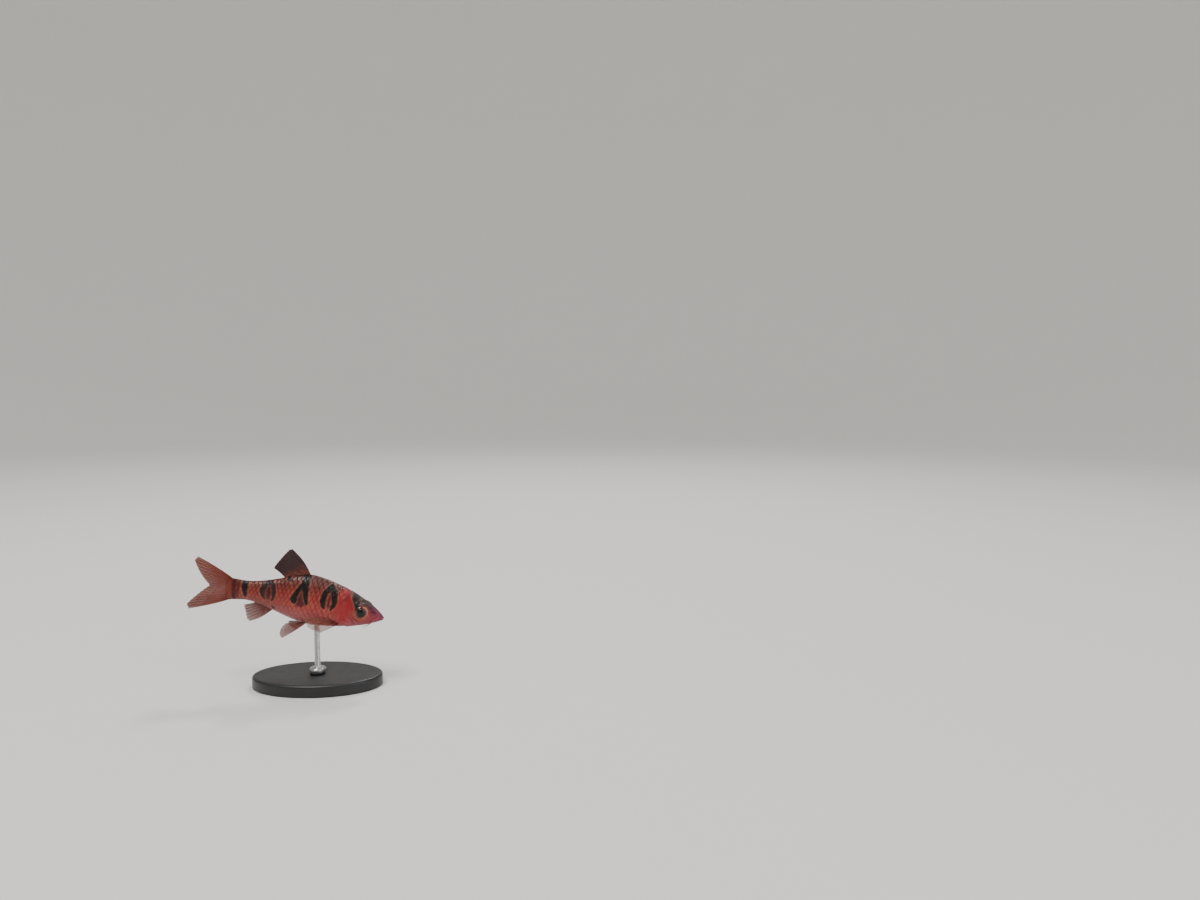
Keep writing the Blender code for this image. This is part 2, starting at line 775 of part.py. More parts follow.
def main():
    clear_scene()
    model = new_collection("snakeskin_barb")
    skin = {
        "head": material("red_cheek_skin", (0.62, 0.16, 0.11), 0.38),
        "torso": material("orange_flank_skin", (0.66, 0.24, 0.13), 0.38),
        "tail": material("orange_tail_skin", (0.60, 0.20, 0.11), 0.38),
    }
    fin_skin = material("red_brown_fin", (0.42, 0.13, 0.10), 0.35)
    eye_skin = material("dark_eye", (0.02, 0.02, 0.025), 0.08)

    lengths = body_lengths(model)
    finish_head(lengths["head"], model)
    fish = dict(lengths)
    for side, word in ((1, "left"), (-1, "right")):
        fish["eye_" + word] = eyeball(side, word, model)
    fish.update(fins(model))

    pose = bpy.data.objects.new("fish_pose", None)
    model.objects.link(pose)
    pose.matrix_world = fish_pose()
    for name, thing in fish.items():
        sweep(thing)
        thing.parent = pose
        thing.data.materials.clear()
        if name in skin:
            thing.data.materials.append(skin[name])
        else:
            thing.data.materials.append(eye_skin if "eye" in name else fin_skin)

    base = stand_base(model)
    base.data.materials.append(material("black_stand", (0.03, 0.03, 0.032), 0.45))
    rod = stand_rod(model)
    rod.data.materials.append(material("steel_rod", (0.55, 0.55, 0.56), 0.3, 1.0))
    for thing in (*fish.values(), base, rod):
        thing.data.shade_smooth()
        thing.data.set_sharp_from_angle(angle=math.radians(40))


main()
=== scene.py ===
"""Skin, scales, fins, eyes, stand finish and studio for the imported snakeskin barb.

Lengths are in metres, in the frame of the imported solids. The fish is first made
straight and level, snout towards +X and back towards +Z, then its tail is swept
sideways and the whole fish is pitched over its stand, as the solids are. A place
on it is s, the share of the standard length behind the snout tip, and h, the
share of that length above the line from the snout tip to the tail fin's base.
Round the body a place is q, the share of the half girth from the back's ridge.
"""

import math
from functools import partial

import bpy
import numpy as np
from bpy.props import FloatProperty, FloatVectorProperty, IntProperty, PointerProperty
from mathutils import Matrix, Vector


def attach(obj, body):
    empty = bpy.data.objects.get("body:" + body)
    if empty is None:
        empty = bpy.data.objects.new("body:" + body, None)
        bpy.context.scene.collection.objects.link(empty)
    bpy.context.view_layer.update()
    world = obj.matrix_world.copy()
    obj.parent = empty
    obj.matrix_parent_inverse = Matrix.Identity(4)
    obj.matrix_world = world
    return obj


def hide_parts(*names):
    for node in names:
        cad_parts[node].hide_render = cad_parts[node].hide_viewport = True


bl_info = {
    "name": "Snakeskin barb",
    "version": (1, 0, 0),
    "blender": (4, 5, 0),
    "location": "View3D > Sidebar > Barb",
    "description": "Dresses the solids of a snakeskin barb with skin, scales, fins and eyes",
    "category": "Object",
}

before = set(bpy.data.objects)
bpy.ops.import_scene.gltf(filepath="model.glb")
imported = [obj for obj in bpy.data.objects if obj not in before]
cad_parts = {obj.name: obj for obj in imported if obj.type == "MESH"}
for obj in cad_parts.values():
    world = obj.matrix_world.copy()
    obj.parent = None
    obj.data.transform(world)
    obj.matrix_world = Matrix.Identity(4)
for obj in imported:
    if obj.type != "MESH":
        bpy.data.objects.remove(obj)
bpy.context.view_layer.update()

MM = 0.001

# Driving sizes of the fish, the same as in the solids
STANDARD_LENGTH = 45.0 * MM
NOSE_DOWN = math.radians(11.5)
TAIL_SWEEP = -2.6 * MM
SWEEP_FROM, SWEEP_TO = 0.35, 1.27

# Body outline at its landmarks: (s, back, belly, half width), all as shares of the standard length
STATIONS = (
    (0.00, 0.000, 0.000, 0.000),  # snout tip
    (0.03, 0.029, -0.028, 0.029),  # lips
    (0.08, 0.060, -0.054, 0.049),  # nostrils
    (0.15, 0.094, -0.079, 0.065),  # eye
    (0.22, 0.126, -0.099, 0.074),  # cheek
    (0.30, 0.154, -0.115, 0.080),  # rear of the gill cover
    (0.40, 0.180, -0.129, 0.083),  # shoulder
    (0.50, 0.191, -0.133, 0.079),  # front of the dorsal fin
    (0.60, 0.172, -0.117, 0.069),  # middle of the dorsal fin
    (0.70, 0.131, -0.090, 0.055),  # vent
    (0.80, 0.096, -0.064, 0.041),  # rear of the anal fin
    (0.90, 0.075, -0.053, 0.029),  # narrowest of the tail stalk
    (1.00, 0.075, -0.072, 0.017),  # base of the tail fin
)
HEAD_WIDEST_AT, BODY_WIDEST_AT = 0.62, 0.52
SKULL_SQUARENESS, BACK_SQUARENESS, BELLY_SQUARENESS = 3.1, 1.75, 2.1
SKULL_ENDS, BACK_BEGINS = 0.14, 0.42
TAIL_END = 1.022

# Gill cover
GILL_REAR, GILL_LEVEL = 0.302, 0.012
GILL_CURVE_ABOVE, GILL_CURVE_BELOW = 4.4, 6.6
GILL_LIFT = 0.42 * MM
GILL_LIFT_OVER = 0.055
GILL_TOP, GILL_BOTTOM, GILL_FADE = 0.092, -0.088, 0.02
GILL_SLIT_WIDE = 0.09 * MM
# Seams of the cheek's bones: how far each stands out, its place before the cover's edge, its width
CHEEK_SEAMS = ((0.09 * MM, 0.107, 0.007), (-0.20 * MM, 0.085, 0.012), (-0.10 * MM, 0.073, 0.0035))

# Eye, mouth, nostrils and barbels
EYE_S, EYE_H = 0.136, 0.0235
EYE_RADIUS, EYE_HALF_DEPTH, EYE_PROUD = 2.2 * MM, 1.4 * MM, 0.66 * MM
EYE_TURN_FORWARD, EYE_TURN_UP = math.radians(12), math.radians(4)
PUPIL_RADIUS = 1.20 * MM
# How far from its middle the eyeball shows inside the lid, how far the skin swells out to it, and
# how high the lid stands
EYE_SHOWS, SOCKET_SWELL, LID_HIGH = 2.03 * MM, 1.24 * MM, 0.035 * MM
MOUTH_CORNER_S, MOUTH_CORNER_H, MOUTH_FRONT_H = 0.056, -0.030, -0.004
NOSTRILS = ((0.056, 0.032), (0.068, 0.039))
NOSTRIL_RADIUS, NOSTRIL_RIM = 0.24 * MM, 0.10 * MM
BARBEL_ROOT, BARBEL_TIP = 0.24 * MM, 0.05 * MM
# Each pair of barbels: s, h, length, how far it stands out and how much it droops
BARBELS = (
    (0.026, 0.006, 2.2 * MM, 0.72, 0.55),
    (0.060, -0.027, 3.4 * MM, 0.50, 0.62),
)
# Single fins: s of the first and the last ray, the shares of the base up to which rays are short,
# up to which they grow and from which they shorten, the short rays' lengths as shares of a full
# one, the longest and the last ray as shares of the standard length, degrees of the first and the
# last ray over the back, their bend, and the size of the fin's slight wave and its turns
DORSAL = {
    "base": (0.504, 0.660), "short_to": 0.1, "full_from": 0.2, "shortens_from": 0.05,
    "short": (0.62, 0.965), "lengths": (0.212, 0.092), "angles": (62, 44), "bend": -21,
    "wave": 0.16 * MM, "turns": (9, 3),
}
ANAL = {
    "base": (0.702, 0.800), "short_to": 0.14, "full_from": 0.28, "shortens_from": 0.06,
    "short": (0.6, 0.95), "lengths": (0.178, 0.088), "angles": (52, 30), "bend": -12,
    "wave": 0.12 * MM, "turns": (7, 4),
}
# Tail fin: the rays at the fork and at the tips, and degrees that the outer ones spread and bend
CAUDAL = {
    "lengths": (0.132, 0.298), "spread": 29, "bend": -12, "wave": 0.28 * MM, "turns": (11, 3.5),
}
# Pectoral fin: s and h of its root, the root's length and its lean, degrees that the fin stands off
# the flank, degrees of the first and the last ray above the fish's axis, and their lengths
PECTORAL = {
    "root": (0.303, -0.062), "base": 1.7 * MM, "lean": 18, "splay": 30, "angles": (2, -34),
    "lengths": (8.4 * MM, 4.8 * MM), "wave": 0.14 * MM, "turns": (8, 3),
}
# Pelvic fin: s of the first and the last ray, their distances from the keel, degrees that they
# point down and outwards, and their lengths
PELVIC = {
    "base": (0.478, 0.504), "across": (1.75 * MM, 0.75 * MM), "down": (50, 14), "out": (30, 10),
    "lengths": (7.6 * MM, 4.4 * MM), "wave": 0.1 * MM, "turns": (8, 3),
}
# How deep the rays' roots lie in the body, and the height over which the belly rounds in
ROOT_SINK, BELLY_DEEP = 1.1 * MM, 6.5 * MM

# Where the fish stands
AXIS_HEIGHT = 24.5 * MM
ROD_S = 0.42
ROD_RADIUS = 0.8 * MM
COLLAR_RADIUS, COLLAR_HEIGHT, COLLAR_CHAMFER = 2.3 * MM, 1.6 * MM, 0.4 * MM
BASE_HALF_LENGTH, BASE_HALF_WIDTH, BASE_THICK = 19.0 * MM, 12.0 * MM, 3.5 * MM
BASE_ROUNDING, WASHER = 0.8 * MM, 0.3 * MM

# Dark markings as strokes of (s, h, radius), in shares of the standard length
BLACK_BARS = (
    ((0.207, 0.140, 0.017), (0.186, 0.097, 0.018), (0.166, 0.062, 0.016), (0.152, 0.040, 0.018)),
    ((0.352, 0.151, 0.014), (0.323, 0.118, 0.019), (0.309, 0.072, 0.018), (0.316, 0.026, 0.012),
     (0.324, 0.007, 0.006)),
    ((0.356, 0.147, 0.014), (0.379, 0.108, 0.017), (0.384, 0.060, 0.020), (0.376, 0.024, 0.015),
     (0.367, 0.007, 0.007)),
    ((0.528, 0.210, 0.026), (0.522, 0.170, 0.025), (0.515, 0.125, 0.022), (0.502, 0.080, 0.017),
     (0.490, 0.040, 0.013), (0.486, 0.019, 0.009)),
    ((0.530, 0.130, 0.017), (0.553, 0.092, 0.014), (0.567, 0.060, 0.019), (0.573, 0.030, 0.024),
     (0.570, 0.012, 0.013)),
    ((0.912, 0.085, 0.018), (0.908, 0.050, 0.020), (0.901, 0.015, 0.019), (0.895, -0.016, 0.011)),
    ((0.612, 0.137, 0.008), (0.642, 0.149, 0.010)),
    ((0.699, -0.064, 0.010), (0.708, -0.050, 0.008)),
)
GREY_BARS = (
    ((0.750, 0.108, 0.012), (0.722, 0.082, 0.014), (0.706, 0.042, 0.013), (0.709, 0.004, 0.010),
     (0.716, -0.013, 0.004)),
    ((0.752, 0.108, 0.013), (0.778, 0.082, 0.018), (0.788, 0.045, 0.020), (0.779, 0.012, 0.014),
     (0.766, -0.008, 0.006)),
    ((0.735, 0.095, 0.012), (0.765, 0.095, 0.012)),
)
DUSKY_VEILS = (
    ((0.526, 0.100, 0.016), (0.530, 0.060, 0.034), (0.528, 0.028, 0.040)),
    ((0.486, 0.017, 0.009), (0.560, 0.012, 0.009)),
    ((0.750, 0.088, 0.016), (0.747, 0.040, 0.028), (0.742, 0.005, 0.014)),
    ((0.986, 0.085, 0.015), (0.974, 0.000, 0.015), (0.963, -0.062, 0.013)),
    ((0.950, 0.070, 0.006), (0.946, -0.035, 0.005)),
    ((0.345, 0.105, 0.006), (0.345, 0.030, 0.012)),
)
# Rows of pores in the head's skin, each a line of (s, h)
CANALS = (
    ((0.070, 0.020), (0.082, -0.004), (0.104, -0.026), (0.136, -0.036), (0.168, -0.028), (0.188, -0.006),
     (0.194, 0.022), (0.204, 0.046), (0.232, 0.066)),
    ((0.048, 0.036), (0.075, 0.054), (0.110, 0.073), (0.150, 0.087), (0.185, 0.094)),
    ((0.236, 0.050), (0.230, 0.012), (0.218, -0.026), (0.192, -0.056), (0.155, -0.066), (0.110, -0.056),
     (0.075, -0.046), (0.048, -0.034)),
)
# The fleshy base of the pectoral fin, which is bare of scales, and how far and wide it swells
PECTORAL_BASE = ((0.304, -0.064, 0.017), (0.292, -0.092, 0.017))
PECTORAL_SWELL, PECTORAL_SWELL_WIDE = 0.29 * MM, 0.6 * MM
FOLD_RAY_PITCH = 0.62 * MM
RED_PATCHES = (
    ((0.212, 0.095, 0.016), (0.236, 0.060, 0.030), (0.252, 0.000, 0.030), (0.250, -0.040, 0.022)),
    ((0.262, 0.120, 0.020), (0.288, 0.060, 0.016), (0.292, 0.010, 0.010)),
)
# Fineness of the table of the body's sections, the distance between the skin's rings on the head
# and behind it, and the share of the girth where the mouth runs
TABLE_RINGS, TABLE_STEPS, TABLE_ANGLES = 521, 401, 1801
HEAD_SPACING, FLANK_SPACING = 0.055 * MM, 0.21 * MM
MOUTH_Q = 0.66
# Scales: how far a whole one reaches over the shown length and the row's height, on the flank and
# over ridge and keel; where the last ones shrink; and the skin that has none
SCALE_LONG, SCALE_HIGH, MIDDLE_LONG, MIDDLE_HIGH = 1.9, 2.12, 1.8, 1.7
LAST_SCALES = (0.93, 0.99)
ROW_MARGIN = 0.42
# Single rows over the ridge and the keel: where they start and end, and the fin's base between
RIDGE_ROW, RIDGE_GAP = (0.222, 0.935), (0.495, 0.67)
KEEL_ROW, KEEL_GAP = (0.235, 0.915), (0.69, 0.81)
# Half the width of a scale's patch on the map that the bake reads
HALF_PATCH = 0.0015
SIDES = {"left": 1, "right": -1}

# Colours from the belly to the ridge of the back, and from the pupil's edge outwards
FLANK_STOPS = (
    (0.00, "#A4717C"), (0.14, "#A05459"), (0.34, "#983838"), (0.60, "#862121"), (0.80, "#4E1017"),
    (0.93, "#330A11"), (1.00, "#260910"),
)
IRIS_STOPS = (
    (0.56, "#4E2218"), (0.61, "#2C0E0D"), (0.67, "#5E2422"), (0.74, "#A85E54"), (0.84, "#C27A6E"),
    (0.93, "#B06860"),
)
REAR_SHARE, TAIL_SHARE, SNOUT_SHARE, FLUSH_SHARE = 0.50, 0.55, 0.55, 0.82

# Fins: name, colours of root, web, edge and rays, how solid root, edge and rays are, and specks
FIN_FINISHES = (
    ("dusky_fin", "#5E160F", "#2A070D", "#2F0D16", "#210509", (0.98, 0.91, 0.98), "#A5501D"),
    ("ruddy_fin", "#752214", "#651D15", "#6E352E", "#6B291E", (0.90, 0.54, 0.93), None),
    ("brown_tail_fin", "#6B2210", "#752614", "#77392B", "#621D10", (0.94, 0.70, 0.94), None),
    ("glassy_fin", "#7D2E1E", "#894834", "#916153", "#7E3927", (0.42, 0.20, 0.78), None),
)

# Soft lights: place, width, power in watts and tint, and the spot that they look at
LIT_SPOT = (0, 0, 0.022)
LIGHTS = {
    "ceiling_softbox": ((0, 0, 2.1), 2.2, 15.0, (1, 1, 1)),
    "key_softbox": ((-0.25, -0.42, 0.95), 0.4, 7.0, (1.0, 0.96, 0.92)),
    "fill_softbox": ((0.75, -0.45, 0.35), 0.6, 2.2, (0.95, 0.97, 1.0)),
    "rim_softbox": ((0.1, 0.55, 0.7), 0.15, 2.4, (1, 1, 1)),
}
AIR_COLOUR, AIR_LIGHT = "#E9ECF0", 0.35

# Node kinds and settings that the materials use most
MATH, RANGE, MIX, RAMP = "ShaderNodeMath", "ShaderNodeMapRange", "ShaderNodeMix", "ShaderNodeValToRGB"
NOISE, BUMP, READ = "ShaderNodeTexNoise", "ShaderNodeBump", "ShaderNodeAttribute"
VECTOR, PLACE = "ShaderNodeVectorMath", "ShaderNodeTexCoord"
SMOOTH = {"interpolation_type": "SMOOTHSTEP"}
COLOUR = {"data_type": "RGBA"}

# Small sums


def blend(low, high, value):
    """0 at low, 1 at high, and a smooth step between."""
    t = np.clip((value - low) / (high - low), 0.0, 1.0)
    return t * t * (3 - 2 * t)


def mix(a, b, t):
    """a at t = 0, b at t = 1, and straight in between."""
    return a + (b - a) * t


def bump(distance, width):
    """1 at distance 0, and a smooth fall to nothing over the width on both sides."""
    return np.exp(-((distance / width) ** 2))


def window(value, *edges):
    """0 outside the outer edges, 1 between the inner ones, and a smooth step at each end."""
    low, full, fade, high = edges
    return blend(low, full, value) * (1 - blend(fade, high, value))


def unit(vectors):
    """The vectors with a length of 1, or of 0 where they vanish."""
    return vectors / np.maximum(np.linalg.norm(vectors, axis=-1, keepdims=True), 1e-15)


def circle(count):
    """Angles that are spaced evenly round a circle."""
    return np.linspace(0, 2 * np.pi, count, endpoint=False)


def x_of(s):
    """The straight fish's x at s."""
    return (0.5 - s) * STANDARD_LENGTH


def shares_of(points):
    """s and h of points of the straight fish, and the level: 0 at the keel and 1 at the ridge."""
    s, h = 0.5 - points[:, 0] / STANDARD_LENGTH, points[:, 2] / STANDARD_LENGTH
    back, belly, _ = outline(s)
    return s, h, (h - belly) / np.maximum(back - belly, 1e-4)


# The plain body, as in the solids


def outline(s):
    """Back, belly and half width at s, as shares: a smooth curve through the stations."""
    at = np.sqrt([row[0] for row in STATIONS])
    r = np.sqrt(np.clip(s, 0.0, 1.0))
    i = np.clip(np.searchsorted(at, r + 1e-12, side="right") - 1, 0, len(at) - 2)
    span = at[i + 1] - at[i]
    t = (r - at[i]) / span
    found = []
    for column in (1, 2, 3):
        value = np.array([row[column] for row in STATIONS])
        low = np.maximum(np.arange(len(at)) - 1, 0)
        high = np.minimum(np.arange(len(at)) + 1, len(at) - 1)
        slope = (value[high] - value[low]) / (at[high] - at[low])
        found.append(
            (2 * t**3 - 3 * t**2 + 1) * value[i]
            + (t**3 - 2 * t**2 + t) * span * slope[i]
            + (3 * t**2 - 2 * t**3) * value[i + 1]
            + (t**3 - t**2) * span * slope[i + 1]
        )
    return found


def widest_height(s, back, belly):
    """Height at which the section is widest, which is higher up on the head."""
    return mix(belly, back, mix(HEAD_WIDEST_AT, BODY_WIDEST_AT, blend(SKULL_ENDS, BACK_BEGINS, s)))


def squareness(s, above):
    """How square the section is above or below its widest height. 2 is an ellipse."""
    over = mix(SKULL_SQUARENESS, BACK_SQUARENESS, blend(SKULL_ENDS, BACK_BEGINS, s))
    return np.where(above, over, BELLY_SQUARENESS)


def section(s, angle):
    """Half width and height of the skin at s, at an angle round the section from the back."""
    back, belly, half_width = outline(s)
    middle = widest_height(s, back, belly)
    across, up = np.sin(angle), np.cos(angle)
    power = 2 / squareness(s, up >= 0)
    reach = np.where(up >= 0, back - middle, middle - belly)
    y = half_width * np.abs(across) ** power
    z = middle + np.sign(up) * reach * np.abs(up) ** power
    return y * STANDARD_LENGTH, z * STANDARD_LENGTH


def body_table():
    """The section's y and z over the root of s and q, and its half girth over the root of s."""
    s = np.linspace(0, 1, TABLE_RINGS) ** 2
    angle = np.linspace(0, np.pi, TABLE_ANGLES)
    y, z = section(s[:, None], angle[None, :])
    steps = np.hypot(np.diff(y, axis=1), np.diff(z, axis=1))
    arc = np.concatenate([np.zeros((TABLE_RINGS, 1)), np.cumsum(steps, axis=1)], axis=1)
    q = np.linspace(0, 1, TABLE_STEPS)
    even_y, even_z = np.zeros((2, TABLE_RINGS, TABLE_STEPS))
    for k in range(1, TABLE_RINGS):
        share = arc[k] / arc[k, -1]
        even_y[k] = np.interp(q, share, y[k])
        even_z[k] = np.interp(q, share, z[k])
    return even_y, even_z, arc[:, -1]


TABLE_Y, TABLE_Z, TABLE_GIRTH = body_table()


def look_up(table, s, q):
    """Values of a body table at s and q, straight between its entries."""
    r = np.sqrt(np.clip(s, 0, 1)) * (TABLE_RINGS - 1)
    c = np.clip(q, 0, 1) * (TABLE_STEPS - 1)
    i = np.minimum(r.astype(int), TABLE_RINGS - 2)
    j = np.minimum(c.astype(int), TABLE_STEPS - 2)
    low = mix(table[i, j], table[i + 1, j], r - i)
    high = mix(table[i, j + 1], table[i + 1, j + 1], r - i)
    return mix(low, high, c - j)


def half_girth(s):
    """Distance over the skin from the ridge to the keel at s."""
    return np.interp(np.sqrt(np.clip(s, 0, 1)), np.linspace(0, 1, TABLE_RINGS), TABLE_GIRTH)


def body_points(s, q, side):
    """Points of the plain body, which thins out to a wedge between the tail fin's rays.

    q below 0 or above 1 runs on past the ridge or the keel to the other side."""
    other = np.where((q < 0) | (q > 1), -1, 1)
    q = np.where(q < 0, -q, np.where(q > 1, 2 - q, q))
    end = np.clip((s - 1) / (TAIL_END - 1), 0, 1)
    y = look_up(TABLE_Y, s, q) * (1 - end) ** 0.85
    z = look_up(TABLE_Z, s, q)
    back, belly, _ = outline(1.0)
    centre = (back + belly) / 2 * STANDARD_LENGTH
    tall = (back - belly) / 2 * STANDARD_LENGTH
    rounded_end = 0.55 * MM * end * (1 - ((z - centre) / tall) ** 2)
    z = mix(z, centre + (z - centre) * 0.9, end**2)
    return np.stack([x_of(s) - rounded_end, side * other * y, z], axis=-1)


def skin_y(s, h):
    """Half width of the body at s, at height h."""
    back, belly, half_width = outline(s)
    middle = widest_height(s, back, belly)
    above = h >= middle
    height = np.where(above, back - middle, middle - belly)
    n = squareness(s, above)
    share = np.minimum(1.0, np.abs(h - middle) / height)
    return half_width * STANDARD_LENGTH * (1 - share**n) ** (1 / n)


def on_skin(s, h, side=1):
    """The point of the plain body at s and h, on one side."""
    return np.array([x_of(s), side * float(skin_y(s, h)), h * STANDARD_LENGTH])


def q_at(s, h):
    """Share of the half girth at which the section at s has the height h."""
    q = np.linspace(0, 1, TABLE_STEPS)
    heights = look_up(TABLE_Z, np.full(TABLE_STEPS, s), q)
    return float(np.interp(-h * STANDARD_LENGTH, -heights, q))


def gill_s(h):
    """s of the gill cover's rear edge at height h."""
    off = h - GILL_LEVEL
    return GILL_REAR - np.where(off > 0, GILL_CURVE_ABOVE, GILL_CURVE_BELOW) * off * off


def mouth_line(s):
    """Height of the closed mouth's line at s."""
    t = np.clip(s / MOUTH_CORNER_S, 0, 1)
    return mix(MOUTH_FRONT_H, MOUTH_CORNER_H, t**1.4)


def eye_frame(side):
    """Centre of an eyeball, and its turn: its own +Z looks out of the head."""
    out = Vector(
        (math.sin(EYE_TURN_FORWARD), side * math.cos(EYE_TURN_FORWARD), math.sin(EYE_TURN_UP))
    ).normalized()
    centre = Vector(on_skin(EYE_S, EYE_H, side)) + out * (EYE_PROUD - EYE_HALF_DEPTH)
    return np.array(centre), np.array(out.to_track_quat("Z", "Y").to_matrix())


# Pose


def fish_pose():
    """Turn and place of the fish: nose down, with its belly over the rod."""
    turn = Matrix.Rotation(NOSE_DOWN, 4, "Y")
    belly = Vector((x_of(ROD_S), 0, float(outline(ROD_S)[1]) * STANDARD_LENGTH))
    return Matrix.Translation((-(turn @ belly).x, 0, AXIS_HEIGHT)) @ turn


def posed(points):
    """Points of the straight, level fish, with the tail swept and the fish over its stand."""
    start, end = x_of(SWEEP_FROM), x_of(SWEEP_TO)
    t = np.maximum(0.0, (points[:, 0] - start) / (end - start))
    swept = points + np.stack([0 * t, TAIL_SWEEP * t * t, 0 * t], axis=1)
    pose = np.array(fish_pose())
    return swept @ pose[:3, :3].T + pose[:3, 3]


def put_on_stand(thing):
    """Moves a finished piece of the straight fish to its place, within its mesh."""
    co = read_points(thing.data)
    thing.data.vertices.foreach_set("co", posed(co).astype(np.float32).ravel())
    thing.data.update()
    return thing


# Meshes


def read_points(mesh):
    """A mesh's points as rows of x, y and z."""
    co = np.zeros(len(mesh.vertices) * 3, np.float32)
    mesh.vertices.foreach_get("co", co)
    return co.reshape(-1, 3).astype(float)


def mesh_object(name, points, faces):
    """A smoothly shaded object in the scene, from points and faces."""
    mesh = bpy.data.meshes.new(name)
    mesh.from_pydata(np.asarray(points, float), [], faces)
    mesh.update()
    made = bpy.data.objects.new(name, mesh)
    bpy.context.scene.collection.objects.link(made)
    mesh.shade_smooth()
    return made


def write_attribute(mesh, name, values):
    """A number or a vector for each vertex, which the materials read by name."""
    values = np.asarray(values, np.float32)
    kind, field = ("FLOAT", "value") if values.ndim == 1 else ("FLOAT_VECTOR", "vector")
    mesh.attributes.new(name, kind, "POINT").data.foreach_set(field, values.ravel())


def write_uv(mesh, name, of_vertex):
    """A UV map from a (u, v) for each vertex."""
    loops = np.zeros(len(mesh.loops), np.int32)
    mesh.loops.foreach_get("vertex_index", loops)
    uv = np.asarray(of_vertex, np.float32)[loops]
    # A face across the seam of an unrolled tube would run back over the whole map
    starts = np.zeros(len(mesh.polygons), np.int32)
    sizes = np.zeros(len(mesh.polygons), np.int32)
    mesh.polygons.foreach_get("loop_start", starts)
    mesh.polygons.foreach_get("loop_total", sizes)
    face = np.repeat(np.arange(len(starts)), sizes)
    highest = np.maximum.reduceat(uv[:, 1], starts)[face]
    uv[:, 1] += (highest - uv[:, 1] > 0.5) * 1.0
    mesh.uv_layers.new(name=name).data.foreach_set("uv", uv.ravel())


def grid_faces(rows, columns, closed, first=0):
    """Quads of a grid of points, whose columns meet round a tube where it is closed."""
    i, j = np.meshgrid(np.arange(rows - 1), np.arange(columns if closed else columns - 1), indexing="ij")
    right = (j + 1) % columns
    a, b = i * columns + j, i * columns + right
    return (first + np.stack([a, b, b + columns, a + columns], axis=-1).reshape(-1, 4)).tolist()


def facing_out(faces, points):
    """The faces, turned round if the closed surface that they make is inside out."""
    total = 0.0
    points = np.asarray(points)
    for size in {len(f) for f in faces}:
        some = np.array([f for f in faces if len(f) == size])
        for k in range(1, size - 1):
            a, b, c = points[some[:, 0]], points[some[:, k]], points[some[:, k + 1]]
            total += np.einsum("ij,ij->", a, np.cross(b, c))
    return faces if total > 0 else [f[::-1] for f in faces]


def rim_of(rows, columns):
    """The points round the edge of a grid, in order."""
    rim = list(range(columns))
    rim += [k * columns + columns - 1 for k in range(1, rows)]
    rim += [(rows - 1) * columns + k for k in range(columns - 2, -1, -1)]
    return rim + [k * columns for k in range(rows - 2, 0, -1)]


def capped_tube(rings, first_pole, last_pole):
    """Points and outward faces of a tube of rings that closes to a pole at each end."""
    rows, columns = rings.shape[:2]
    points = np.concatenate([rings.reshape(-1, 3), [first_pole, last_pole]])
    faces = grid_faces(rows, columns, True)
    last = (rows - 1) * columns
    for k in range(columns):
        after = (k + 1) % columns
        faces.append([len(points) - 2, after, k])
        faces.append([len(points) - 1, last + k, last + after])
    return points, facing_out(faces, points)


# Node trees


def add(tree, kind, inputs=None, out=0, **settings):
    """Adds a node with its settings, fills inputs with values or links, and gives one output."""
    node = tree.nodes.new(kind)
    for name, value in settings.items():
        setattr(node, name, value)
    for key, source in (inputs or {}).items():
        if isinstance(source, bpy.types.NodeSocket):
            tree.links.new(source, node.inputs[key])
        else:
            node.inputs[key].default_value = source
    return node.outputs[out]


def linear(hex_colour):
    """An sRGB hex colour as linear RGBA."""
    parts = [int(hex_colour[i : i + 2], 16) / 255 for i in (1, 3, 5)]
    return (*[c / 12.92 if c <= 0.04045 else ((c + 0.055) / 1.055) ** 2.4 for c in parts], 1.0)


def new_material(name, **sockets):
    """A Principled material and its tree, with values set on the shader's own sockets."""
    made = bpy.data.materials.new(name)
    made.use_nodes = True
    shader = made.node_tree.nodes["Principled BSDF"]
    for key, value in sockets.items():
        shader.inputs[key.replace("_", " ")].default_value = value
    return made, made.node_tree, shader


def wire(tree, shader, **sources):
    """Links node outputs to the shader's own sockets."""
    for key, source in sources.items():
        tree.links.new(source, shader.inputs[key.replace("_", " ")])


def set_stops(socket, stops):
    """Sets the colours of a ramp from (place, hex colour)."""
    band = socket.node.color_ramp
    while len(band.elements) < len(stops):
        band.elements.new(0.5)
    for element, (place, ink) in zip(band.elements, stops):
        element.position = place
        element.color = linear(ink)


# Settings


def length(name, default, description):
    """A setting in metres."""
    return FloatProperty(
        name=name, default=default, description=description, unit="LENGTH", precision=5, min=0.0
    )


def colour(name, hex_colour, description):
    """A colour setting, given as an sRGB hex value."""
    return FloatVectorProperty(
        name=name, default=linear(hex_colour), description=description, subtype="COLOR", size=4
    )


class SkinSettings(bpy.types.PropertyGroup):
    rings: IntProperty(name="Rings", default=396, description="Rings of the skin from snout to tail")
    half_columns: IntProperty(
        name="Half columns", default=118, description="Columns of the skin from ridge to keel"
    )
    slit_depth: length("Gill slit", 0.30 * MM, "Depth of the slit behind the gill cover")
    lip_height: length("Lips", 0.20 * MM, "How far the lips stand out")
    cleft_depth: length("Mouth line", 0.34 * MM, "Depth of the closed mouth's line")


class CoatSettings(bpy.types.PropertyGroup):
    depth: length("Coat depth", 0.20 * MM, "Depth of the overlapping scales over the skin")
    pitch: length("Scale pitch", 1.34 * MM, "Shown length of a scale on the flank")
    row: length("Row height", 1.36 * MM, "Distance between rows of scales on the flank")
    thickness: length("Scale thickness", 0.05 * MM, "Thickness of one scale")
    dome: length("Scale dome", 0.045 * MM, "How much a scale's middle stands up")


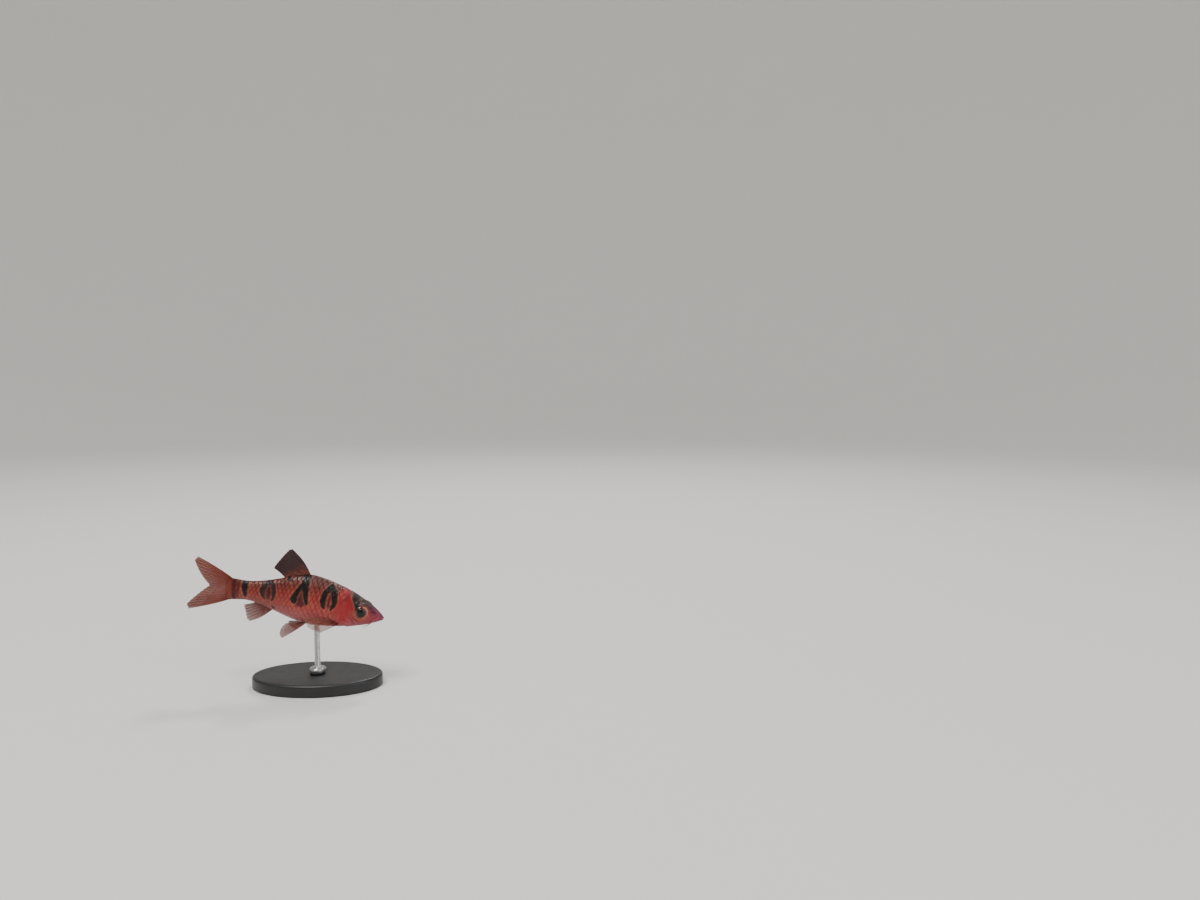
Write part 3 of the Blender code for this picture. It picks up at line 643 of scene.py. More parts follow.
class FinSettings(bpy.types.PropertyGroup):
    web: length("Membrane", 0.10 * MM, "Thickness of the membrane at the root")
    ray: length("Ray", 0.34 * MM, "Thickness of a ray at the root")
    notch: FloatProperty(
        name="Notch", default=0.014, description="Share of a ray that the membrane stops short"
    )


class ColourSettings(bpy.types.PropertyGroup):
    rear: colour("Rear", "#4E0B0C", "Flank towards the tail stalk")
    tail: colour("Tail stalk", "#68200D", "Last scales before the tail fin")
    bar: colour("Bars", "#0B0C0D", "Black bars")
    dusky: colour("Dusky", "#371115", "Dusky insides of the rings")
    slate: colour("Slate", "#22151B", "The grey bar before the tail stalk")
    cheek: colour("Cheek", "#960F19", "Red of the gill cover")
    cream: colour("Cream", "#B3745B", "Thin pale edges of the bars")
    lips: colour("Lips", "#873353", "Lips and snout")


class StageSettings(bpy.types.PropertyGroup):
    camera_place: FloatVectorProperty(
        name="Camera", default=(0.0835, -0.2618, 0.08888), description="Camera place",
        subtype="TRANSLATION",
    )
    camera_down: FloatProperty(
        name="Camera tilt", default=math.radians(4.2), description="How far the camera looks down",
        subtype="ANGLE",
    )
    lens: FloatProperty(name="Lens", default=27.1, description="Focal length in mm on a 36 mm sensor")


# Skin


def ring_places(count):
    """Places s of the skin's rings: close on the head and at the gill cover's edge."""
    s = np.linspace(0, 1, 8001) ** 2
    back, belly, half_width = outline(s)
    path = np.hypot(np.diff(x_of(s)), np.diff((back - belly + half_width) / 2) * STANDARD_LENGTH)
    middle = (s[1:] + s[:-1]) / 2
    spacing = mix(HEAD_SPACING, FLANK_SPACING, blend(0.31, 0.38, middle))
    spacing = spacing * (1 - 0.45 * bump(middle - GILL_REAR, 0.008))
    total = np.concatenate([[0], np.cumsum(path / spacing)])
    return np.interp(np.linspace(0, total[-1], count), total, s)


def skin_places(rings, half_columns):
    """s, q and side of each point of the skin's grid, with lines along the mouth and the gill edge."""
    tail = 1 + (TAIL_END - 1) * np.sin(np.linspace(0, np.pi / 2, 9)[1:])
    s0 = np.concatenate([ring_places(rings - len(tail)), tail])
    even = np.linspace(0, 1, 2001)
    density = np.concatenate([[0], np.cumsum(1 + 1.7 * bump(even[1:] - MOUTH_Q, 0.06))])
    q_half = np.interp(np.linspace(0, density[-1], half_columns + 1), density, even)
    q0 = np.concatenate([q_half, q_half[-2:0:-1]])
    side = np.concatenate([np.ones(half_columns + 1), -np.ones(half_columns - 1)])
    near = 1 - blend(0.062, 0.105, s0)
    line = np.array([q_at(s, mouth_line(s)) if s < 0.11 else MOUTH_Q for s in s0])
    line = mix(MOUTH_Q, np.clip(line, 0.4, 0.94), near)[:, None]
    before = q0[None, :] <= MOUTH_Q
    q = np.where(before, q0 * line / MOUTH_Q, 1 - (1 - q0) * (1 - line) / (1 - MOUTH_Q))
    s = np.repeat(s0[:, None], len(q0), axis=1)
    reach = np.where(s < GILL_REAR, blend(0.13, GILL_REAR, s), 1 - blend(GILL_REAR, 0.5, s))
    base = s.copy()
    for _ in range(4):
        h = look_up(TABLE_Z, s, q) / STANDARD_LENGTH
        s = base - reach * np.minimum(GILL_REAR - gill_s(h), 0.072)
    return s, q, np.repeat(side[None, :], len(s0), axis=0)


def normals_of(points):
    """Outward normals of a grid of points round a tube."""
    along = np.gradient(points, axis=0)
    wrapped = np.concatenate([points[:, -1:], points, points[:, :1]], axis=1)
    around = (wrapped[:, 2:] - wrapped[:, :-2]) / 2
    normal = unit(np.cross(along, around))
    from_axis = points - points.mean(axis=1, keepdims=True)
    return normal * np.where(np.median(np.einsum("ijk,ijk->ij", normal, from_axis)) >= 0, 1, -1)


def gill_relief(s, h, depth):
    """Gill cover standing off the flank, its slit, and the seams between its plates."""
    edge = gill_s(h)
    past = s - edge
    behind = past * STANDARD_LENGTH
    levels = [end + way * GILL_FADE for end in (GILL_BOTTOM, GILL_TOP) for way in (-1, 1)]
    rise = blend(edge - GILL_LIFT_OVER, edge - 0.004, s)
    lip = 1 - 0.25 * blend(-0.2 * MM, 0.0, behind)
    cover = GILL_LIFT * rise * lip * (1 - blend(0.0, GILL_SLIT_WIDE, behind))
    slit = depth * window(behind, 0.0, GILL_SLIT_WIDE, 0.3 * MM, 1.1 * MM)
    hem = 0.05 * MM * bump(behind + 0.42 * MM, 0.1 * MM)
    seams = sum(out * bump(past + before, width) for out, before, width in CHEEK_SEAMS)
    seams = seams * blend(-0.086, -0.056, h)
    # The seam between the cover's upper and lower plate, which slants down to the front
    plate = 0.14 * MM * bump(h + 0.034 - past * 0.55, 0.0042) * window(past, -0.075, -0.06, -0.02, 0.0)
    return (cover - slit - hem - plate + seams) * window(h, *levels)


def mouth_relief(s, h, lip_height, cleft_depth):
    """Lips with the mouth's line between them, and folds that part them from snout and chin. Also gives
    how much painted shade darkens the mouth's line.
    """
    up = (h - mouth_line(s)) * STANDARD_LENGTH
    to_corner = 1 - blend(MOUTH_CORNER_S - 0.012, MOUTH_CORNER_S + 0.006, s)
    soft = mix(1.0, 0.6, np.clip(s / MOUTH_CORNER_S, 0, 1))
    lip = lip_height * soft * (bump(up - 0.25 * MM, 0.2 * MM) + 0.9 * bump(up + 0.25 * MM, 0.2 * MM))
    cleft = cleft_depth * bump(up, 0.055 * MM) * mix(0.4, 1.0, blend(0.0, 0.02, s))
    folds = 0.15 * MM * bump(up - 0.62 * MM, 0.1 * MM) + 0.12 * MM * bump(up + 0.62 * MM, 0.12 * MM)
    corner = 0.22 * MM * bump(s - MOUTH_CORNER_S - 0.004, 0.006) * bump(up + 0.1 * MM, 0.5 * MM)
    return (lip - cleft - folds * soft) * to_corner - corner, bump(up, 0.1 * MM) * to_corner


def pit(points, spot, radius, rim):
    """A small round opening with a raised rim, and how much painted shade darkens its hollow."""
    far = np.linalg.norm(points - spot, axis=-1)
    ring = rim * bump(far - radius * 1.25, radius * 0.38)
    return ring - radius * 1.3 * bump(far, radius * 0.72), bump(far, radius * 0.6)


def eye_socket(points, side):
    """Points near the eye moved along its look, so that the skin closes round the eyeball."""
    centre, turn = eye_frame(side)
    own = (points - centre) @ turn
    far = np.hypot(own[..., 0], own[..., 1])
    past_ball, past_lid = far - EYE_RADIUS, far - EYE_SHOWS
    # A low swelling carries the skin out to the eyeball where the head curves away above and below
    swell = SOCKET_SWELL * np.sqrt(np.maximum(0, 1 - (far / (EYE_RADIUS + 0.7 * MM)) ** 2))
    plain = own[..., 2].copy()
    soft = 0.12 * MM
    swell = np.where(past_ball < 0.68 * MM, swell, -9 * MM)
    over = soft * np.logaddexp(plain / soft, swell / soft)
    over = mix(over, plain, blend(0.25 * MM, 0.9 * MM, past_ball))
    # The lid is a narrow rounded roll round the ball, with a fine groove outside it
    for out, place, width in ((LID_HIGH, 0.2 * MM, 0.13 * MM), (-LID_HIGH, 0.5 * MM, 0.12 * MM)):
        over = over + out * bump(past_lid - place, width)
    fall = blend(-0.2 * MM, 0.22 * MM, past_lid) ** 0.7
    near = (plain > -1.6 * MM) & (past_ball < 0.95 * MM)
    own[..., 2] = np.where(near, mix(-0.2 * MM, over, fall), plain)
    return own @ turn.T + centre, bump(past_lid - 0.1 * MM, 0.22 * MM) * near


def nearest_on_line(s, h, start, end):
    """The nearest place on a straight line, as a share of the way along it, and how far off it is."""
    (s0, h0), (s1, h1) = start, end
    t = ((s - s0) * (s1 - s0) + (h - h0) * (h1 - h0)) / ((s1 - s0) ** 2 + (h1 - h0) ** 2)
    t = np.clip(t, 0, 1)
    return t, np.hypot(s - mix(s0, s1, t), h - mix(h0, h1, t))


def stroke_depth(s, h, stroke):
    """How deep a place is inside a stroke of varying width, as a share of the standard length."""
    best = np.full(np.shape(s), -1.0)
    for start, end in zip(stroke, stroke[1:]):
        t, far = nearest_on_line(s, h, start[:2], end[:2])
        best = np.maximum(best, mix(start[2], end[2], t) - far)
    return best


def paint(mesh, points, own_share=1.0, roots=None):
    """Writes how much of each ground colour a point has, and how deep it is in each marking, in mm.

    With roots, the markings follow partly the place of each scale's root, as pigment does."""
    s, h, level = shares_of(points)
    write_attribute(mesh, "level", level)
    write_attribute(mesh, "rear", REAR_SHARE * blend(0.50, 0.82, s))
    fleshy = blend(0.985, 1.01, s)
    write_attribute(mesh, "tail", mix(TAIL_SHARE * blend(0.86, 1.02, s), 0.9, fleshy))
    write_attribute(mesh, "snout", SNOUT_SHARE * blend(0.13, 0.02, s))
    if roots is not None:
        s, h = mix(roots[:, 0], s, own_share), mix(roots[:, 1], h, own_share)
    for name, strokes in (("black", BLACK_BARS), ("grey", GREY_BARS), ("veil", DUSKY_VEILS)):
        depth = np.max([stroke_depth(s, h, stroke) for stroke in strokes], axis=0)
        write_attribute(mesh, name, depth * STANDARD_LENGTH / MM)
    red = np.max([blend(-0.035, 0.02, stroke_depth(s, h, stroke)) for stroke in RED_PATCHES], axis=0)
    write_attribute(mesh, "flush", FLUSH_SHARE * red)


def canal_places(s, h):
    """For each place, how far along the nearest row of pores it is and how far to its side, in mm."""
    best, along = np.full(len(s), 9.0), np.zeros(len(s))
    for line in CANALS:
        gone = 0.0
        for start, end in zip(line, line[1:]):
            t, far = nearest_on_line(s, h, start, end)
            span = math.dist(start, end)
            far = far * STANDARD_LENGTH / MM
            nearer = far < best
            best = np.where(nearer, far, best)
            along = np.where(nearer, (gone + t * span) * STANDARD_LENGTH / MM, along)
            gone += span
    return along, best


def write_head_places(mesh, points):
    """Writes the places of the head's finer marks: pigment dots and flecks, and ribs and pores, which also
    get painted light and shade.
    """
    s, h, level = shares_of(points)
    write_attribute(mesh, "crown", 0.10 + 0.55 * blend(0.45, 0.95, level))
    write_attribute(mesh, "nape", 0.55 * blend(0.02, 0.06, h) * blend(0.19, 0.23, s))
    # The gill cover's bone is ribbed like a fan that opens from the cheek's upper rear corner
    over, behind = h - 0.078, s - 0.226
    fan = np.stack([9 * np.arctan2(over, behind), 14 * np.hypot(over, behind), 0 * s], axis=1)
    write_attribute(mesh, "fan", fan)
    cover = blend(0.222, 0.240, s) * blend(0.305, 0.295, s) * blend(-0.065, -0.045, h)
    write_attribute(mesh, "cover", 0.3 * cover)
    along, aside = canal_places(s, h)
    write_attribute(mesh, "pore_row", along)
    write_attribute(mesh, "beside_row", aside)
    write_attribute(mesh, "groove", 0.4 * blend(0.28, 0.0, aside))


def barbel_tube(side, s, h, reach, stand_out, droop):
    """Points and faces of one feeler, which leaves the skin outwards and curves back and down."""
    steps, sides = 26, 14
    t = np.linspace(0, 1, steps)
    root = on_skin(s, h, side) - np.array([0, side * 0.35 * MM, 0])
    out = stand_out * np.sin(np.minimum(1.0, t * 1.2) * np.pi / 2)
    way = np.stack([-0.75 * t**1.5, side * (out + 0.12 * t), -droop * t**1.2], axis=1)
    path = root + way * reach
    ahead = unit(np.gradient(path, axis=0))
    first = unit(np.cross(ahead, [0, 0, 1.0]))
    second = np.cross(ahead, first)
    radius = mix(BARBEL_ROOT, BARBEL_TIP, t**0.75) + 0.2 * MM * bump(t, 0.16)
    radius = radius * np.sqrt(np.clip((1.001 - t) / 0.06, 0.0, 1.0))
    angle = circle(sides)[:, None]
    around = first[:, None] * np.cos(angle) + second[:, None] * np.sin(angle)
    return capped_tube(path[:, None] + around * radius[:, None, None], path[0], path[-1])


def nostril_relief(plain):
    """The nostrils of both sides, and how much painted shade they put in each place."""
    relief, dark = np.zeros((2, *plain.shape[:2]))
    for side in SIDES.values():
        for spot in NOSTRILS:
            opening, shade = pit(plain, on_skin(*spot, side), NOSTRIL_RADIUS, NOSTRIL_RIM)
            relief, dark = relief + opening, np.maximum(dark, shade)
    return relief, dark


def throat_relief(plain, s, q):
    """The furrow between the gill covers, and the rays of the skin fold below them."""
    height = plain[..., 2]
    furrow = bump(plain[..., 1], 0.22 * MM) * (q > 0.6) * window(s, 0.10, 0.14, 0.19, 0.22)
    under = blend(-0.062, -0.078, height / STANDARD_LENGTH) * window(s, 0.10, 0.13, 0.235, 0.26)
    rays = np.cos(2 * np.pi * (height + 0.2 * x_of(s)) / FOLD_RAY_PITCH)
    return 0.035 * MM * under * rays - 0.16 * MM * furrow


def fin_root_relief(plain):
    """The low swellings that the pectoral fins grow from."""
    relief = 0.0
    for side in SIDES.values():
        upper, lower = (on_skin(s, h, side) for s, h, _ in PECTORAL_BASE)
        down = lower - upper
        share = np.clip((plain - upper) @ down / np.dot(down, down), 0, 1)
        far = np.linalg.norm(plain - upper - share[..., None] * down, axis=-1)
        relief = relief + PECTORAL_SWELL * bump(far, PECTORAL_SWELL_WIDE)
    return relief


def behind_gill(s, h):
    """How far behind the gill cover's edge a place is, with the edge run straight on at both ends."""
    return s - gill_s(np.clip(h, -0.11, 0.145))


def with_barbels(points, faces, uv):
    """The skin's points, faces and map with both pairs of barbels added."""
    for side in SIDES.values():
        for row in BARBELS:
            more, more_faces = barbel_tube(side, *row)
            faces += [[len(points) + n for n in face] for face in more_faces]
            root = np.array([0.02 + row[0], 0.5 + side * 0.2])
            uv = np.concatenate([uv, root + HALF_PATCH * (more[:, [0, 2]] - more[0, [0, 2]]) / MM])
            points = np.concatenate([points, more])
    return points, faces, uv


def make_skin(sizes, coat_depth):
    """One closed skin from snout to tail, with everything on the head worked into it."""
    s, q, side = skin_places(sizes.rings, sizes.half_columns)
    plain = body_points(s, q, side)
    h = plain[..., 2] / STANDARD_LENGTH
    mouth, cleft = mouth_relief(s, h, sizes.lip_height, sizes.cleft_depth)
    nostrils, pores = nostril_relief(plain)
    relief = gill_relief(s, h, sizes.slit_depth) + mouth + nostrils + throat_relief(plain, s, q)
    # Under the scales the skin lies deeper by the coat's depth
    relief = relief - coat_depth * blend(-0.002, 0.010, behind_gill(s, h)) + fin_root_relief(plain)
    points = plain + normals_of(plain) * relief[..., None]
    rim = 0 * s
    for way in SIDES.values():
        near = (side == way) & (s > 0.05) & (s < 0.24)
        points[near], rim[near] = eye_socket(points[near], way)
    rows, columns = s.shape
    tube, faces = capped_tube(points[1:-1], points[0].mean(axis=0), points[-1].mean(axis=0))
    i, j = np.meshgrid(np.arange(1, rows - 1) / rows, np.arange(columns) / columns, indexing="ij")
    uv = np.concatenate([np.stack([i, j], axis=-1).reshape(-1, 2), [[0, 0.5], [1, 0.5]]])
    points, faces, uv = with_barbels(tube, faces, uv)
    skin = mesh_object("skin", points, faces)
    write_uv(skin.data, "OFBake", uv)
    paint(skin.data, points)
    write_head_places(skin.data, points)
    # Painted shade for the mouth's line and the nostrils, and the lid's paler ring
    for name, tone in (("cleft", 0.88 * cleft), ("nostril_shade", 0.9 * pores), ("lid", 0.55 * rim)):
        values = np.zeros(len(points))
        values[:len(tube) - 2] = tone[1:-1].ravel()
        write_attribute(skin.data, name, values)
    return skin


def skin_colour(tree, place, colours):
    """Colour of skin and scales alike: orange flank, red cheek, dark bars with thin pale edges.

    Also gives 1 outside the bars and 0 in them, which keeps finer patterns out of the bars."""
    blotch, fine = (
        add(tree, NOISE, {"Vector": place, "Scale": 1 / size, "Detail": 3.0})
        for size in (1.6 * MM, 0.45 * MM)
    )
    level, rear, tail, snout, flush, black, grey, veil = (
        add(tree, READ, None, "Fac", attribute_name=name)
        for name in ("level", "rear", "tail", "snout", "flush", "black", "grey", "veil")
    )
    # From the belly to the ridge of the back, with the change broken up by blotches
    shift = add(tree, RANGE, {0: blotch, 3: -0.06, 4: 0.06})
    base = add(tree, RAMP, {0: add(tree, MATH, {0: level, 1: shift}, operation="ADD")})
    set_stops(base, FLANK_STOPS)
    warm = add(tree, RANGE, {0: blotch, 1: 0.5, 2: 0.75, 4: 0.11}, **SMOOTH)
    for share, ink in (
        (rear, colours.rear), (tail, colours.tail), (snout, colours.lips), (flush, colours.cheek),
        (warm, linear("#C26B4C")),
    ):
        base = add(tree, MIX, {0: share, 6: base, 7: ink}, 2, **COLOUR)
    # Single pigment cells make the edges ragged
    wander = add(tree, RANGE, {0: fine, 3: -0.275, 4: 0.275})
    for depth, low, high, strength, ink in (
        (veil, -0.62, 0.42, 0.82, colours.dusky),
        (grey, -0.62, -0.25, 0.17, colours.cream),
        (grey, -0.22, 0.20, 0.93, colours.slate),
        (black, -0.62, -0.25, 0.19, colours.cream),
        (black, -0.22, 0.20, 0.97, colours.bar),
    ):
        ragged = add(tree, MATH, {0: depth, 1: wander}, operation="ADD")
        share = add(tree, RANGE, {0: ragged, 1: low, 2: high, 4: strength}, **SMOOTH)
        base = add(tree, MIX, {0: share, 6: base, 7: ink}, 2, **COLOUR)
    dark = add(tree, MATH, {0: black, 1: grey}, operation="MAXIMUM")
    dark = add(tree, MATH, {0: dark, 1: wander}, operation="ADD")
    quiet = add(tree, RANGE, {0: dark, 1: 0.2, 2: -0.22}, **SMOOTH)
    return base, add(tree, RANGE, {0: veil, 1: 0.42, 2: -0.5, 4: quiet}, **SMOOTH)


def skin_material(colours):
    """Live fish skin, wet: smooth where it is bare, with fine pores that break the gloss, and painted
    light and shade on its small hollows and ribs.
    """
    made, tree, shader = new_material(
        "wet_fish_skin", Roughness=0.38, Metallic=0.08, Subsurface_Weight=0.1, Subsurface_Scale=0.0005,
        Coat_Weight=0.18, Coat_Roughness=0.14, Specular_IOR_Level=0.30,
    )
    place = add(tree, PLACE, None, "Object")
    base, quiet = skin_colour(tree, place, colours)
    crown, nape, cover, pore_row, beside_row, groove, cleft, nostril_shade, lid = (
        add(tree, READ, None, "Fac", attribute_name=name)
        for name in (
            "crown", "nape", "cover", "pore_row", "beside_row", "groove", "cleft", "nostril_shade", "lid",
        )
    )
    patches, flecks, grainy, swells = (
        add(tree, NOISE, {"Vector": place, "Scale": 1 / size, "Detail": detail})
        for size, detail in ((1.1 * MM, 2.0), (0.55 * MM, 2.0), (0.16 * MM, 2.0), (0.7 * MM, 3.0))
    )
    # Pigment cells show as fine dark dots, dense over the crown and sparse on the cheek
    cells = add(tree, "ShaderNodeTexVoronoi", {"Vector": place, "Scale": 1 / (0.17 * MM)}, "Distance")
    dots = add(tree, RANGE, {0: cells, 1: 0.34, 2: 0.18, 4: crown}, **SMOOTH)
    dots = add(tree, RANGE, {0: patches, 1: 0.42, 2: 0.62, 4: dots}, **SMOOTH)
    flecks = add(tree, RANGE, {0: flecks, 1: 0.56, 2: 0.66, 4: nape}, **SMOOTH)
    fan = add(tree, READ, None, "Vector", attribute_name="fan")
    ribs = add(tree, NOISE, {"Vector": fan, "Scale": 1.0, "Detail": 2.0})
    # Painted highlight on the ribs' crests and painted shade in their troughs
    crests = add(tree, RANGE, {0: ribs, 1: 0.52, 2: 0.75, 4: cover}, **SMOOTH)
    troughs = add(tree, RANGE, {0: ribs, 1: 0.48, 2: 0.25, 4: cover}, **SMOOTH)
    # Pores stand every 0.6 mm along the canals of the head, each darkened by painted shade in its pit
    along = add(tree, MATH, {0: pore_row, 1: 0.3}, operation="PINGPONG")
    offset = add(tree, "ShaderNodeCombineXYZ", {0: along, 1: beside_row})
    offset = add(tree, VECTOR, {0: offset}, "Value", operation="LENGTH")
    holes = add(tree, RANGE, {0: offset, 1: 0.085, 2: 0.03, 4: 0.32}, **SMOOTH)
    ringed = add(tree, MATH, {0: lid, 1: quiet}, operation="MULTIPLY")
    # Painted shade darkens the pores, the mouth's line and the nostrils, and painted light and shade lie
    # on the ribs; the dots and flecks are pigment
    for share, ink in (
        (dots, "#240A0F"), (flecks, "#2E080D"), (crests, "#BC4D50"), (troughs, "#52080F"),
        (holes, "#2C070B"), (ringed, "#B16A5D"), (cleft, "#2A0A0E"), (nostril_shade, "#1E080B"),
    ):
        base = add(tree, MIX, {0: share, 6: base, 7: linear(ink)}, 2, **COLOUR)
    ribs = add(tree, MATH, {0: ribs, 1: cover}, operation="MULTIPLY")
    relief = 0.0
    for height, depth in ((grainy, 0.022), (swells, 0.07), (ribs, 0.17), (groove, 0.05), (holes, -0.16)):
        relief = add(tree, MATH, {0: height, 1: depth, 2: relief}, operation="MULTIPLY_ADD")
    uneven = add(tree, RANGE, {0: swells, 3: 0.30, 4: 0.50})
    relief = add(tree, BUMP, {"Height": relief, "Distance": MM})
    wire(tree, shader, Base_Color=base, Roughness=uneven, Normal=relief)
    return made


# Scales


def plate_mesh(name, thickness, dome, depth, pore):
    """One scale, 1 long and 1 high, rooted at x = 0 and rising to its rounded rear edge."""
    steps = 8 if pore else 7
    a = np.linspace(-1, 1, steps)
    x, y = np.meshgrid(a, a, indexing="ij")
    disc_x, disc_y = x * np.sqrt(1 - y * y / 2), y * np.sqrt(1 - x * x / 2)
    far = np.hypot(disc_x, disc_y)
    along = (disc_x + 1) / 2
    flat_y = disc_y / 2 * mix(1.0, 0.86, blend(0.5, 0.0, along))
    top = (depth - thickness) * along**1.1 + thickness + dome * (1 - far**2) * blend(0.1, 0.7, along)
    if pore:
        top = top + 0.07 * MM * bump(disc_y, 0.16) * window(along, 0.25, 0.5, 0.82, 0.93)
    upper = np.stack([along, flat_y, top], axis=-1).reshape(-1, 3)
    rim = rim_of(steps, steps)
    points = np.concatenate([upper, upper[rim] - np.array([0, 0, thickness * 0.6])])
    count = len(upper)
    faces = grid_faces(steps, steps, False)
    for k, a_point in enumerate(rim):
        after = (k + 1) % len(rim)
        faces.append([rim[after], a_point, count + k, count + after])
    faces.append(list(range(count, count + len(rim)))[::-1])
    faces = facing_out(faces, points)
    made = mesh_object(name, points, faces)
    along, across = points[:, 0], 2 * points[:, 1]
    write_attribute(made.data, "disc", np.stack([2 * along - 1, across, 0 * along], axis=1))
    write_attribute(made.data, "hind", 0.40 * blend(0.5, 0.7, along))
    # How strongly the middle of the shown part is painted paler: a painted highlight on the dome
    write_attribute(made.data, "middle", 0.14 * blend(0.45, 0.8, along))
    write_attribute(made.data, "angle", np.arctan2(across, 2 * along))
    return made


def lateral_h(s):
    """Height of the lateral line: it falls behind the gill cover and runs to the tail's middle."""
    return mix(0.045, 0.001, blend(0.27, 0.56, s))


def arc_at(s, h):
    """Distance over the skin from the back's ridge to height h, as a share of the standard length."""
    shares = np.array([q_at(a, b) for a, b in zip(np.atleast_1d(s), np.atleast_1d(h))])
    return shares * half_girth(np.atleast_1d(s)) / STANDARD_LENGTH


def scale_roots(side, sizes):
    """Flat places (s, arc) of the scale roots on one side, their sizes, and which are pored."""
    s_fine = np.linspace(0.15, 1.006, 420)
    tight = mix(1.0, 0.84, blend(0.45, 0.9, s_fine)) * mix(1.0, 0.66, blend(*LAST_SCALES, s_fine))
    pitch = tight * sizes.pitch / STANDARD_LENGTH
    order = np.concatenate([[0], np.cumsum(np.diff(s_fine) / pitch[1:])])
    line_arc = arc_at(s_fine, lateral_h(s_fine))
    girth = half_girth(s_fine) / STANDARD_LENGTH
    row_high = mix(1.0, 0.72, blend(0.42, 0.98, s_fine)) * sizes.row / STANDARD_LENGTH
    found = []
    for row in range(-9, 10):
        for k in range(int(order[-1]) + 1):
            at = k + (row % 2) / 2
            if at > order[-1]:
                continue
            s = float(np.interp(at, order, s_fine))
            high = float(np.interp(s, s_fine, row_high))
            arc = float(np.interp(s, s_fine, line_arc)) + row * high
            whole = float(np.interp(s, s_fine, girth))
            if arc < ROW_MARGIN * high or arc > whole - ROW_MARGIN * high:
                continue
            h = float(look_up(TABLE_Z, np.array(s), np.array(arc / whole))) / STANDARD_LENGTH
            small = mix(1.0, 0.62, blend(*LAST_SCALES, s))
            long = float(np.interp(s, s_fine, pitch)) * SCALE_LONG * small
            on_head = s + long * 0.55 < float(gill_s(np.clip(h, -0.108, 0.142)))
            if on_head or stroke_depth(s + long * 0.45, h, PECTORAL_BASE) > 0:
                continue
            found.append((s, arc, long, high * SCALE_HIGH, float(row == 0)))
    if side > 0:
        found += middle_rows(s_fine, order, row_high, pitch, girth)
    return np.array(found)


def middle_rows(s_fine, order, row_high, pitch, girth):
    """Single rows of scales over the ridge and the keel, which leave the fins' bases free."""
    rows = []
    for (starts, ends), gap, arcs in ((RIDGE_ROW, RIDGE_GAP, 0 * girth), (KEEL_ROW, KEEL_GAP, girth)):
        for k in range(2 * int(order[-1])):
            s = float(np.interp(k * 0.5, order, s_fine))
            if gap[0] - 0.02 < s < gap[1] or not starts <= s <= ends:
                continue
            arc, high, long = (float(np.interp(s, s_fine, row)) for row in (arcs, row_high, pitch))
            rows.append((s, arc, long * MIDDLE_LONG, high * MIDDLE_HIGH, 0.0))
    return rows


def guide_surface(side, coat_depth):
    """The plain body under one side's scales, with its flat map, a little past ridge and keel."""
    s = np.concatenate([np.linspace(0.12, 1.0, 220), np.linspace(1.0, TAIL_END + 0.008, 8)[1:]])
    arc = np.linspace(-0.06, 0.47, 190)
    s, arc = np.meshgrid(s, arc, indexing="ij")
    whole = half_girth(s) / STANDARD_LENGTH
    q = np.clip(arc / whole, -0.9, 1.9)
    points = body_points(s, q, side)
    out = unit(np.cross(np.gradient(points, axis=0), np.gradient(points, axis=1))) * (-side)
    behind = blend(-0.03, 0.012, behind_gill(s, points[..., 2] / STANDARD_LENGTH))
    points = points - out * coat_depth * mix(0.8, 1.0, behind)[..., None]
    made = mesh_object("guide", points.reshape(-1, 3), grid_faces(*s.shape, False))
    write_attribute(made.data, "flat", np.stack([s, arc, 0 * s], axis=-1).reshape(-1, 3))
    write_attribute(made.data, "out", out.reshape(-1, 3))
    return made


def tree_with_inputs(name, inputs):
    """A Geometry Nodes tree with named inputs, and the sockets that bring them in."""
    tree = bpy.data.node_groups.new(name, "GeometryNodeTree")
    for key, kind in inputs.items():
        tree.interface.new_socket(key, in_out="INPUT", socket_type="NodeSocket" + kind)
    tree.interface.new_socket("Geometry", in_out="OUTPUT", socket_type="NodeSocketGeometry")
    return tree, add(tree, "NodeGroupInput").node.outputs


